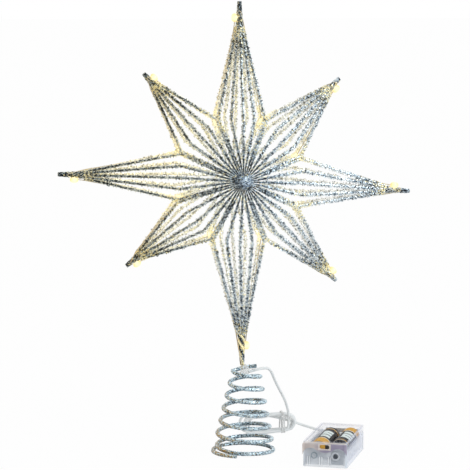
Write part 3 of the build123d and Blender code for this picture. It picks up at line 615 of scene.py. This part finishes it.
# Each painted shading gives the share of bright flakes at the hub, how far from there it rises to all of
# them, and what the right of the star, its left, and the flanks of a wire add to it.
OUTER_SHADED = (0.46, 0.038, -0.02, -0.32, 0.85)
INNER_SHADED = (0.88, 0.040, 0.05, 0.05, 0.2)
# Painted warm light of the lamps and the warm surround, as shares of gold flakes on the outer and inner
# sides.
OUTER_WARM_LIGHT = 0.05
INNER_WARM_LIGHT = 0.24
SIDES = ((OUTER_WARM_LIGHT, OUTER_SHADED), (INNER_WARM_LIGHT, INNER_SHADED))
WARM_LIGHT_LEAST = 0.1
WARM_LIGHT_LEFT = 0.4
WARM_LIGHT_UPPER = 0.45
WARM_LIGHT_RISE = 0.09
WARM_LIGHT_NEAR = 0.7
WARM_LIGHT_REACH = 0.045
# Painted highlight at the hub: bright flakes round a point just right of its middle, in a paler blue foil.
HUB_HIGHLIGHT = 1.14
HUB_FADE = 75.0
HUB_SHINE = CENTRE + Vector((0.0020, 0, 0.0008))
HUB_BRIGHT = 0.0052
HUB_RAGGED = 0.5
GOLDEN = 0.618
DUSK_BEND = 0.65
HUB_METAL = 0.4
HUB_FLAKE = 0.0007
# Painted shade towards the tips, more on the right of the star.
TIP_DUSK = 0.9
TIP_SHADE_ON_RIGHT = 0.45
TIP_MOST = 0.34
TIP_FROM = 0.60
LED_SETBACK = 0.0025
LED_BACK = 0.6
LED_REACH = 0.0115
LED_ASIDE = 0.0040
# Colours of the painted lamp light on the outer and the inner wires.
PALE_GOLD = colour(0.82, 0.73, 0.41)
CREAM = colour(0.87, 0.79, 0.48)
OUTER_FOIL = (
    (0.0, (0.010, 0.014, 0.022)), (0.2, (0.055, 0.08, 0.11)), (0.4, (0.28, 0.36, 0.43)),
    (0.7, (0.57, 0.62, 0.65)), (1.0, (0.74, 0.78, 0.80)),
)
HUB_HIGHLIGHT_FOIL = (
    (0.0, (0.02, 0.03, 0.05)), (0.25, (0.12, 0.19, 0.28)), (0.5, (0.54, 0.67, 0.82)),
    (0.75, (0.86, 0.94, 1.0)), (1.0, (0.96, 1.0, 1.0)),
)
# Paler flakes of the inner side of the wires, painted as lit by the lamps inside.
INNER_LIT_FOIL = (
    (0.0, (0.10, 0.098, 0.090)), (0.2, (0.34, 0.33, 0.30)), (0.4, (0.64, 0.63, 0.59)),
    (0.75, (0.80, 0.78, 0.73)), (1.0, (0.88, 0.86, 0.82)),
)


def ray(angle):
    """Unit direction in the star's plane, in degrees from +X towards +Z."""
    return Vector((cos(radians(angle)), 0, sin(radians(angle))))


def notch_angle(index):
    """Direction of the notch after an arm."""
    here = ARMS[NAMES[index]][0]
    following = ARMS[NAMES[(index + 1) % len(NAMES)]][0]
    return here + ((following - here) % 360) / 2


def fan_routes(index, face):
    """Routes of the wires on one face of an arm; face is -1 in front and 1 at the back."""
    name = NAMES[index]
    direction, length = ARMS[name]
    side = ray(direction + 90)
    after = notch_angle(index)
    before = after - (after - notch_angle(index - 1)) % 360
    gap = EDGE_OFFSET / radians(NOTCH_RADIUS)
    first = ray(before + gap) * NOTCH_RADIUS
    last = ray(after - gap) * NOTCH_RADIUS
    gather = ray(direction) * (length - TIPS[name] + WIRE_SEAT)
    routes = []
    for i in range(FAN):
        share = i / (FAN - 1)
        step = pi * (i + 0.5) / FAN
        outward = before + (after - before) * (i + 0.5) / FAN
        bulge = EDGE_DEPTH + (RIDGE_DEPTH - EDGE_DEPTH) * sin(pi * share)
        tip = gather - side * GATHER_RADIUS * cos(step) + Vector((0, face * GATHER_RADIUS * sin(step), 0))
        bend = first + (last - first) * share + Vector((0, face * bulge, 0))
        hub = ray(outward) * HUB_RADIUS + Vector((0, face * HUB_DEPTH, 0))
        apex = ray(outward) * APEX_RADIUS + Vector((0, face * APEX_DEPTH, 0))
        routes.append(beaded([CENTRE + tip, CENTRE + bend, CENTRE + hub, CENTRE + apex], WIRE_STEP))
    return routes


def across(place, middle):
    """Distance between two places as seen from in front."""
    return Vector((place.x - middle.x, 0, place.z - middle.z)).length


def necked(place):
    """Share of the wire's thickness at a place: the wires are pressed thin where they crowd at the hub."""
    return min(1.0, NECK_SHARE + (1 - NECK_SHARE) * across(place, CENTRE) / NECKED)


def on_the_left(place):
    """Share of the way from the lit right of the star to its darker left."""
    return min(1.0, max(0.0, (DUSK_FROM - place.x) / (DUSK_FROM - DUSK_TO)))


def proud_flakes(place):
    """Share of the flakes that stand proud: most on the right, and none at the hub."""
    share = min(1.0, max(0.0, (across(place, CENTRE) - PROUD_FROM) / PROUD_RISE))
    return share * (PROUD_ON_RIGHT + (PROUD_ON_LEFT - PROUD_ON_RIGHT) * on_the_left(place))


def warm_light_share(place):
    """Share of gold flakes for painted warm light: most on the left, near the hub and in the upper arms."""
    upper = min(1.0, max(0.0, (place.z - CENTRE.z) / WARM_LIGHT_RISE))
    near = max(0.0, 1 - across(place, CENTRE) / WARM_LIGHT_REACH)
    return WARM_LIGHT_LEAST + (WARM_LIGHT_LEFT + WARM_LIGHT_NEAR * near) * on_the_left(place) + WARM_LIGHT_UPPER * upper


def open_air(place, normal, shaded, length):
    """Painted light and shade: fewer bright flakes on the left, round the hub and at the tips, more on a
    wire's flanks.
    """
    least, reach, on_right, on_left, beside = shaded
    away = across(place, CENTRE)
    light_share = min(1.0, least + (1 - least) * away / reach)
    light_share = max(light_share, HUB_HIGHLIGHT - HUB_FADE * across(place, HUB_SHINE))
    dusk = on_the_left(place) ** DUSK_BEND
    tip_dusk = TIP_DUSK + TIP_SHADE_ON_RIGHT * (1 - dusk)
    light_share -= min(TIP_MOST, tip_dusk * max(0.0, away / length - TIP_FROM))
    return light_share + on_right + (on_left - on_right) * dusk + beside * (1 - abs(normal.y))


notch_lamps = [CENTRE + ray(notch_angle(i)) * (NOTCH_RADIUS - LED_SETBACK) for i in range(len(NAMES))]
tip_lamps = []
for name in NAMES:
    direction, length = ARMS[name]
    turn = -90 if name in LED_CLOCKWISE else 90
    tip_lamps.append(
        CENTRE + ray(direction) * (length - LED_BACK * TIPS[name]) + ray(direction + turn) * LED_ASIDE
    )
string_lamps = notch_lamps + tip_lamps

outer_foil = glitter("outer_wire_foil", OUTER_FOIL, PALE_GOLD, WIRE_FLAKE, glow=0.28, fill=0.42, metal=METAL)
hub_highlight_foil = glitter("hub_highlight_foil", HUB_HIGHLIGHT_FOIL, PALE_GOLD, HUB_FLAKE, glow=0.0, fill=0.25, metal=HUB_METAL)
inner_lit_foil = glitter("inner_wire_lit_foil", INNER_LIT_FOIL, CREAM, WIRE_FLAKE, glow=0.35, fill=0.85, metal=METAL)
for index, name in enumerate(NAMES):
    length = ARMS[name][1]
    for face, word in ((-1, "front"), (1, "back")):
        seed = FAN_SEED + SEED_STEP * index + face
        routes = fan_routes(index, face)
        title = f"{name}_arm_{word}_glitter"
        fan = crusted_wires(title, routes, WIRE_RADIUS, WIRE_SIDES, WIRE_CRUST, seed, necked, proud_flakes)
        # Painted lamp light and warm light, and painted light and shade, by the side of the wire that a point
        # is on.
        catch_light(
            fan, string_lamps, LED_REACH,
            lambda place, normal: SIDES[normal.y * face < 0][0] * warm_light_share(place),
        )
        paint(
            fan, "open_air",
            lambda place, normal: open_air(place, normal, SIDES[normal.y * face < 0][1], length),
        )
        for foil in (outer_foil, inner_lit_foil, hub_highlight_foil):
            fan.data.materials.append(foil)
        # Inner faces take the lit copy of the foil, outer faces the darker one, and faces round the hub the
        # highlight foil.
        for part in fan.data.polygons:
            ragged = HUB_BRIGHT * (HUB_RAGGED + part.index * GOLDEN % 1)
            at_hub = across(part.center, HUB_SHINE) < ragged
            part.material_index = 2 if at_hub else int(part.normal.y * face < 0)
        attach(fan, BODY)
        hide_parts(f"{name}_arm_{word}_wires")

# Twisted tips and stem: beyond the fans the ten wires of an arm are twisted into one tapering bundle.
# The bottom bundle is longer and is the stem that stands in the glue on the coil.
STRANDS = 5
TWIST_PITCH = 0.020
TWIST_START = 0.0024
TWIST_END = 0.0008
STRAND_RADIUS = 0.00095
TIP_REACH = 0.0045
TIP_SEED = 300
# Painted lamp light and shade on the stem: gold on some strands, dark on the others.
STEM_SHADE = 0.45
STEM_LAMPLIGHT = (0.0, 1.0, 0.0, 0.8, 0.3)


def bundle_routes(name):
    """Routes of the strands of one twisted bundle."""
    direction, length = ARMS[name]
    tip_length = TIPS[name]
    base = CENTRE + ray(direction) * (length - tip_length)
    side = ray(direction + 90)
    count = round(tip_length / WIRE_STEP)
    routes = []
    for strand in range(STRANDS):
        route = []
        for i in range(count + 1):
            along = tip_length * i / count
            angle = 2 * pi * (strand / STRANDS + along / TWIST_PITCH)
            reach = TWIST_START + (TWIST_END - TWIST_START) * i / count
            spoke = side * reach * cos(angle)
            route.append(base + ray(direction) * along + spoke + Vector((0, reach * sin(angle), 0)))
        routes.append(route)
    return routes


def stem_lamplight(place):
    """Gold share of painted lamp light on the stem at a place, by the strand that lies there."""
    direction, length = ARMS["bottom"]
    offset = place - CENTRE - ray(direction) * (length - TIPS["bottom"])
    twist = 2 * pi * offset.dot(ray(direction)) / TWIST_PITCH
    angle = atan2(offset.y, offset.dot(ray(direction + 90))) - twist
    return STEM_LAMPLIGHT[round(STRANDS * angle / (2 * pi)) % STRANDS]


for index, name in enumerate(NAMES):
    node = "twisted_stem" if name == "bottom" else f"{name}_tip"
    routes = bundle_routes(name)
    tip = crusted_wires(f"{node}_glitter", routes, STRAND_RADIUS, WIRE_SIDES, WIRE_CRUST, TIP_SEED + index)
    if name == "bottom":
        # The stem's strands are painted gold with lamp light or left in painted shade.
        catch_light(tip, string_lamps, TIP_REACH, lambda place, normal: stem_lamplight(place))
        paint(tip, "open_air", lambda place, normal: STEM_SHADE + (1 - STEM_SHADE) * stem_lamplight(place))
    else:
        # The other tips take the outer wires' painted light and shade, with painted lamp light near the
        # lamps.
        catch_light(tip, string_lamps, TIP_REACH, lambda place, normal: 0.0)
        paint(tip, "open_air", lambda place, normal: open_air(place, normal, OUTER_SHADED, ARMS[name][1]))
    tip.data.materials.append(outer_foil)
    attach(tip, BODY)
    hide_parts(node)

# Hubs: the point of each face, a small knob of lacquer and flakes where the forty wires run together.
# It sits under the wires and closes the gap between their ends.
HUB_KNOB = (0.0030, 0.0011, 0.0030)
HUB_CRUST = 0.0003
HUB_SINK = 0.0002
HUB_SEED = 50
for face, word in ((-1, "front"), (1, "back")):
    bpy.ops.object.select_all(action="DESELECT")
    bpy.ops.mesh.primitive_ico_sphere_add(subdivisions=4, radius=1)
    knob = bpy.context.object
    knob.name = f"{word}_hub_glitter"
    bpy.ops.object.mode_set(mode="EDIT")
    bpy.ops.transform.resize(value=HUB_KNOB, center_override=(0, 0, 0))
    bpy.ops.transform.vertex_random(offset=HUB_CRUST, seed=HUB_SEED + face)
    bpy.ops.transform.translate(value=CENTRE + Vector((0, face * (HUB_DEPTH - HUB_SINK), 0)))
    bpy.ops.object.mode_set(mode="OBJECT")
    bpy.ops.object.shade_flat()
    catch_light(knob, string_lamps, LED_REACH, lambda place, normal: 0.0)
    # The knob is painted at full light in the foil of the hub's painted highlight.
    paint(knob, "open_air", lambda place, normal: 1.0)
    knob.data.materials.append(hub_highlight_foil)
    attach(knob, BODY)
    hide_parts(f"{word}_hub")

# Notch joints: a bead of solder holds the edge wires of neighbouring arms together, front and back.
# The beads were dipped with the wires, so they carry the same flakes.
BEAD_RADIUS = 0.0014
BEAD_LENGTH = 1.5
BEAD_CRUST = 0.00028
BEAD_SEED = 70


def joined(pieces, name):
    """One mesh of several pieces, with its place in its points."""
    bpy.ops.object.select_all(action="DESELECT")
    for piece in pieces:
        piece.select_set(True)
    bpy.context.view_layer.objects.active = pieces[0]
    bpy.ops.object.transform_apply(location=True, rotation=True, scale=True)
    bpy.ops.object.join()
    bpy.context.object.name = name
    return bpy.context.object


beads = []
for index in range(len(NAMES)):
    for face in (-1, 1):
        place = CENTRE + ray(notch_angle(index)) * NOTCH_RADIUS + Vector((0, face * EDGE_DEPTH, 0))
        turn = (0, radians(90 - notch_angle(index)), 0)
        bpy.ops.object.select_all(action="DESELECT")
        bpy.ops.mesh.primitive_ico_sphere_add(
            subdivisions=3, radius=BEAD_RADIUS, location=place, rotation=turn
        )
        bpy.ops.object.mode_set(mode="EDIT")
        bpy.ops.transform.vertex_random(offset=BEAD_CRUST, seed=BEAD_SEED + 2 * index + face)
        bpy.ops.object.mode_set(mode="OBJECT")
        bpy.context.object.scale = (1, 1, BEAD_LENGTH)
        beads.append(bpy.context.object)
beads = joined(beads, "notch_joint_glitter")
bpy.ops.object.shade_flat()
# The beads take the outer wires' painted warm light and are painted at full light.
catch_light(beads, string_lamps, LED_REACH, lambda place, normal: OUTER_WARM_LIGHT)
paint(beads, "open_air", lambda place, normal: 1.0)
beads.data.materials.append(outer_foil)
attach(beads, BODY)
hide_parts("notch_joints")

# LED string: a thin enamelled pair of wires runs round the inside of the star from drop to drop.
# Each drop is a lit chip in a blob of clear epoxy, in every notch and beside every twisted tip.
ENAMEL = (colour(0.62, 0.52, 0.34), colour(0.86, 0.78, 0.60))
ENAMEL_PATCHES = 0.0025
ENAMEL_GLOSS = (0.25, 0.45)
ENAMEL_METAL = 0.9
DROP_RADIUS = 0.0026
DROP_LENGTH = 1.3
DROP_CORE = 0.0030
EPOXY = colour(0.35, 0.28, 0.16)
EPOXY_ROUGH = 0.15
EPOXY_CLOUD = 0.0015
EPOXY_MILK = 0.2
EPOXY_POWER = 0.9
EPOXY_LIGHT = ((0.36, (0.90, 0.62, 0.20)), (0.48, (1.0, 0.86, 0.44)), (0.58, (1.0, 0.95, 0.68)))


def dress(material, *names):
    """Gives CAD nodes a material."""
    for name in names:
        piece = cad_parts[name]
        piece.data.materials.clear()
        piece.data.materials.append(material)


enamel = grained("string_enamel", ENAMEL_PATCHES, ENAMEL, ENAMEL_GLOSS, ENAMEL_METAL, detail=3.0)
dress(enamel, "led_string_wire")
drops = []
for index, name in enumerate(NAMES):
    for place, direction in ((notch_lamps[index], notch_angle(index)), (tip_lamps[index], ARMS[name][0])):
        turn = (0, radians(90 - direction), 0)
        bpy.ops.object.select_all(action="DESELECT")
        bpy.ops.mesh.primitive_uv_sphere_add(
            segments=14, ring_count=10, radius=DROP_RADIUS, location=place, rotation=turn
        )
        bpy.context.object.scale = (1, 1, DROP_LENGTH)
        drops.append(bpy.context.object)
drops = joined(drops, "led_drops_lit")
bpy.ops.object.shade_smooth()
catch_light(drops, string_lamps, DROP_CORE, lambda place, normal: 0.0)
epoxy = Finish("led_epoxy")
cloud = epoxy.noise(EPOXY_CLOUD, detail=2.0)
lit = epoxy.ramp(EPOXY_LIGHT, epoxy.painted("caught") + EPOXY_MILK * cloud)
epoxy.coat(Base_Color=EPOXY, Roughness=EPOXY_ROUGH, Emission_Color=lit, Emission_Strength=EPOXY_POWER)
drops.data.materials.append(epoxy.owner)
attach(drops, BODY)
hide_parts("led_drops")

# Glue joint: a milky lump of hot-melt glue that holds the stem, the coil's end and the start of the cord.
# It set in a few soft runs, so its surface is uneven.
GLUE_PLACE = Vector((0.0009, 0.0004, 0.0659))
GLUE_SIZE = (0.0041, 0.0041, 0.0050)
GLUE_RUNS = 0.0005
GLUE_SEED = 5
GLUE_CLOUD = 0.0033
GLUE_MILK = (colour(0.88, 0.88, 0.86), colour(0.98, 0.98, 0.96))
GLUE_ROUGH = 0.25
GLUE_VEIL = 0.4
GLUE_CHANGE = 0.2
milk = Finish("hot_glue_milk")
cloud = milk.noise(GLUE_CLOUD)
milk.coat(
    Base_Color=milk.mix(cloud, *GLUE_MILK), Roughness=GLUE_ROUGH + GLUE_CHANGE * cloud,
    Alpha=GLUE_VEIL + GLUE_CHANGE * cloud,
)
bpy.ops.object.select_all(action="DESELECT")
bpy.ops.mesh.primitive_ico_sphere_add(subdivisions=3, radius=1)
glue = bpy.context.object
bpy.ops.object.mode_set(mode="EDIT")
bpy.ops.transform.resize(value=GLUE_SIZE, center_override=(0, 0, 0))
bpy.ops.transform.vertex_random(offset=GLUE_RUNS, seed=GLUE_SEED)
bpy.ops.transform.translate(value=GLUE_PLACE)
bpy.ops.object.mode_set(mode="OBJECT")
glue.name = "glue_joint_milky"
softening = glue.modifiers.new("softening", "SUBSURF")
softening.levels = softening.render_levels = 1
bpy.ops.object.modifier_apply(modifier="softening")
bpy.ops.object.shade_smooth()
glue.data.materials.append(milk.owner)
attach(glue, BODY)
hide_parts("glue_joint")

# Battery tray: the lower part of the box, moulded of clear styrene with ribs and a switch in its near end.
# The near wall is thicker and looks milky, the side walls are frosted, and the rest is nearly clear.
BOX_CORNER = (0.0525, -0.0642, 0.0)
BOX_ACROSS = (0.9135, -0.4067, 0.0)
BOX_ALONG = (0.4067, 0.9135, 0.0)
UP = (0.0, 0.0, 1.0)
HAZE = 0.006
EDGE_BLEND = 0.4
STYRENE_DULL = 0.1
TRAY_ROUGH = 0.05
WALL_BACK = 0.0018
WALL_FRONT = -0.0003
ROUNDEL = (-0.0118, -0.0050)
COLLAR = (0.0040, 0.0140)
WINDOW = (-0.0042, 0.0042)
WINDOW_LOW = 0.0140
WINDOW_SPLIT = 0.0001
SIDE_WALLS = (-0.0157, 0.0157)
FROST_TOP = 0.0145
CLEAR_TINTS = (colour(0.56, 0.60, 0.80), colour(0.82, 0.85, 0.97))
WALL_TINTS = (colour(0.56, 0.62, 0.70), colour(0.86, 0.90, 0.95))
PROUD_TINT = colour(0.92, 0.95, 0.98)
COLLAR_TINT = colour(0.74, 0.78, 0.84)
ROUNDEL_TINT = colour(0.26, 0.33, 0.37)
WINDOW_PAINTED_VIEW = (colour(0.02, 0.015, 0.01), colour(0.80, 0.44, 0.05))
FROST_TINT = colour(0.80, 0.84, 0.96)
CLEAR_VEIL = 0.10
EDGE_VEIL = 0.12
FROST_VEIL = 0.40
WALL_VEIL = 0.42
PROUD_VEIL = 0.3
WINDOW_VEIL = 0.4


def box_places(finish):
    """Distances along the box from its near end, across it from its middle, and above the floor."""
    return [finish.along(BOX_CORNER, direction) for direction in (BOX_ALONG, BOX_ACROSS, UP)]


def edge_share(finish):
    """Share by which a clear wall is seen edge on, where it looks denser."""
    return finish.node("ShaderNodeLayerWeight", None, {"Blend": EDGE_BLEND})["Facing"]


tray = Finish("tray_styrene")
near, aside, high = box_places(tray)
haze = tray.noise(HAZE)
milky_wall = near < WALL_BACK
proud = near < WALL_FRONT
roundel = proud * aside.within(*ROUNDEL)
collar = proud * aside.within(*COLLAR)
window = milky_wall * aside.within(*WINDOW) * (high > WINDOW_LOW)
frosted = (aside.within(*SIDE_WALLS) < 0.5) * (high < FROST_TOP)
tint = tray.mix(milky_wall, tray.mix(haze, *CLEAR_TINTS), tray.mix(haze, *WALL_TINTS))
tint = tray.mix(proud, tint, PROUD_TINT)
tint = tray.mix(collar, tint, COLLAR_TINT)
tint = tray.mix(roundel, tint, ROUNDEL_TINT)
# Painted view through the window: the gold end of a cell on its left half and painted shade on its right.
tint = tray.mix(window, tint, tray.mix(aside < WINDOW_SPLIT, *WINDOW_PAINTED_VIEW))
tint = tray.mix(frosted * (near > WALL_BACK), tint, FROST_TINT)
veil = CLEAR_VEIL + EDGE_VEIL * edge_share(tray) + FROST_VEIL * frosted
veil = veil + WALL_VEIL * milky_wall + PROUD_VEIL * proud + WINDOW_VEIL * window
dress(tray.coat(Base_Color=tint, Roughness=TRAY_ROUGH + STYRENE_DULL * haze, Alpha=veil), "battery_tray")

# Lid: slides in the tray's side walls; its skirt closes over the near wall and its border is a thicker rim.
# It is the clearest piece of the box, so that the cells show through it.
LID_ROUGH = 0.04
LID_TINT = colour(0.90, 0.89, 0.98)
LID_INSIDE = 0.0158
LID_FAR = 0.0680
SKIRT_BACK = -0.0004
SKIRT_FADE = 140.0
SKIRT_TURN = 0.0085
SKIRT_LILAC = (colour(0.30, 0.26, 0.38), colour(0.50, 0.45, 0.58))
SKIRT_CREAM = (colour(0.58, 0.49, 0.48), colour(0.90, 0.82, 0.76))
RIM_ASIDE = (-0.0050, 0.0050)
RIM_HIGH = (0.0138, 0.0186)
RIM_TOP = 0.0190
RIM_TINT = colour(0.90, 0.83, 0.78)
LID_VEIL = 0.004
LID_EDGE_VEIL = 0.008
SKIRT_VEIL = 0.6
BORDER_VEIL = 0.26
lid = Finish("lid_styrene")
near, aside, high = box_places(lid)
haze = lid.noise(HAZE)
skirt = near < SKIRT_BACK
rim = skirt * (aside.within(*RIM_ASIDE) * high.within(*RIM_HIGH) + (high > RIM_TOP))
border = (aside < -LID_INSIDE) + (aside > LID_INSIDE) + (near > LID_FAR)
faded = SKIRT_FADE * (aside + SKIRT_TURN)
skirt_tint = lid.mix(faded, lid.mix(haze, *SKIRT_CREAM), lid.mix(haze, *SKIRT_LILAC))
tint = lid.mix(rim, lid.mix(skirt, LID_TINT, skirt_tint), RIM_TINT)
veil = LID_VEIL + LID_EDGE_VEIL * edge_share(lid) + SKIRT_VEIL * skirt + BORDER_VEIL * border
dress(lid.coat(Base_Color=tint, Roughness=LID_ROUGH + STYRENE_DULL * haze, Alpha=veil), "battery_lid")

# Cells: two AA cells in printed sleeves of black and gold foil, the left one with its gold end in front.
# The print is a plain one: rings of cream and gold and a pale panel with bars.
CELL_HEIGHT = 0.01065
CELLS = (
    ("left_cell", -0.0077, 0.0123, 1, (-0.35, 0.75)), ("right_cell", 0.0077, 0.0673, -1, (-0.20, 1.05)),
)
STEEL_TO = 0.0013
GOLD_BAND, GOLD_RING = (0.0013, 0.0125), (0.0440, 0.0452)
CREAM_BAND, CREAM_RING = (0.0125, 0.0138), (0.0462, 0.0467)
PANEL = (0.0175, 0.0370)
LONG_BAR, SHORT_BAR = (0.0235, 0.0250), (0.0305, 0.0315)
SHORT_BAR_FROM = 0.15
# Painted reflection on the left side of each cell: where it begins, and how much rubbing breaks it.
SHEEN_TO = -0.5
SHEEN_RUB = 0.5
RUB = 0.002
SLEEVE_BLACK = (colour(0.006, 0.006, 0.007), colour(0.022, 0.021, 0.021))
SLEEVE_GOLD = (colour(0.60, 0.29, 0.015), colour(0.80, 0.45, 0.04))
SLEEVE_CREAM = colour(0.92, 0.86, 0.74)
SLEEVE_SHEEN = colour(0.17, 0.17, 0.165)
PANEL_PALE = colour(0.78, 0.86, 0.84)
CELL_STEEL = colour(0.62, 0.62, 0.61)
GOLD_METAL = 0.35
STEEL_METAL = 0.9
SLEEVE_ROUGH = 0.34
SLEEVE_DULL = 0.15
SLEEVE_SPECULAR = 0.06
for name, offset, nub, way, panel_turn in CELLS:
    sleeve = Finish(f"{name}_sleeve")
    near, aside, high = box_places(sleeve)
    along = way * (near - nub)
    aside = aside - offset
    turn = aside.math("ARCTAN2", aside, high - CELL_HEIGHT)
    rub = sleeve.noise(RUB)
    steel_end = along < STEEL_TO
    gold = along.within(*GOLD_BAND) + along.within(*GOLD_RING)
    cream = along.within(*CREAM_BAND) + along.within(*CREAM_RING)
    panel = along.within(*PANEL) * turn.within(*panel_turn)
    bars = along.within(*LONG_BAR) + along.within(*SHORT_BAR) * (turn > SHORT_BAR_FROM)
    tint = sleeve.mix(rub, *SLEEVE_BLACK)
    # Painted reflection: a grey sheen on the left side of each cell, broken up by the rubbed patches.
    tint = sleeve.mix((turn < SHEEN_TO) * (1 - SHEEN_RUB * rub), tint, SLEEVE_SHEEN)
    tint = sleeve.mix(panel * (1 - bars), tint, PANEL_PALE)
    tint = sleeve.mix(gold, tint, sleeve.mix(rub, *SLEEVE_GOLD))
    tint = sleeve.mix(cream, tint, SLEEVE_CREAM)
    tint = sleeve.mix(steel_end, tint, CELL_STEEL)
    sleeve.coat(
        Base_Color=tint, Metallic=GOLD_METAL * gold + STEEL_METAL * steel_end,
        Roughness=SLEEVE_ROUGH + SLEEVE_DULL * rub, Specular_IOR_Level=SLEEVE_SPECULAR,
    )
    dress(sleeve.owner, name)

# Contacts and switch: nickel-plated plates and springs, a black switch body with a dark slate button,
# red hook-up wires, and a soft sleeve where the cord comes in.
CONTACTS = ("near_contact_plates", "far_link_plate", "near_contact_spring", "far_contact_spring")
STEEL = (colour(0.72, 0.72, 0.72), colour(0.90, 0.90, 0.89))
SLATE = (colour(0.035, 0.045, 0.06), colour(0.075, 0.09, 0.115))
SWITCH_BLACK = (colour(0.16, 0.17, 0.19), colour(0.26, 0.27, 0.30))
HOOKUP_RED = (colour(0.42, 0.05, 0.05), colour(0.58, 0.09, 0.08))
RELIEF_GREY = (colour(0.70, 0.71, 0.72), colour(0.85, 0.85, 0.85))
STEEL_GRAIN = 0.0011
SLATE_GRAIN = 0.0012
SWITCH_GRAIN = 0.0015
VINYL_GRAIN = 0.002
SATIN = (0.35, 0.55)
MATT = (0.4, 0.6)
CONTACT_METAL = 0.3
dress(grained("contact_steel", STEEL_GRAIN, STEEL, SATIN, CONTACT_METAL, detail=3.0), *CONTACTS)
dress(grained("button_slate", SLATE_GRAIN, SLATE, SATIN), "power_button")
dress(grained("switch_black", SWITCH_GRAIN, SWITCH_BLACK, MATT), "switch_body")
dress(grained("hookup_vinyl", VINYL_GRAIN, HOOKUP_RED, SATIN, detail=3.0), "hookup_wires")
dress(grained("relief_vinyl", VINYL_GRAIN, RELIEF_GREY, MATT, detail=3.0), "strain_relief")
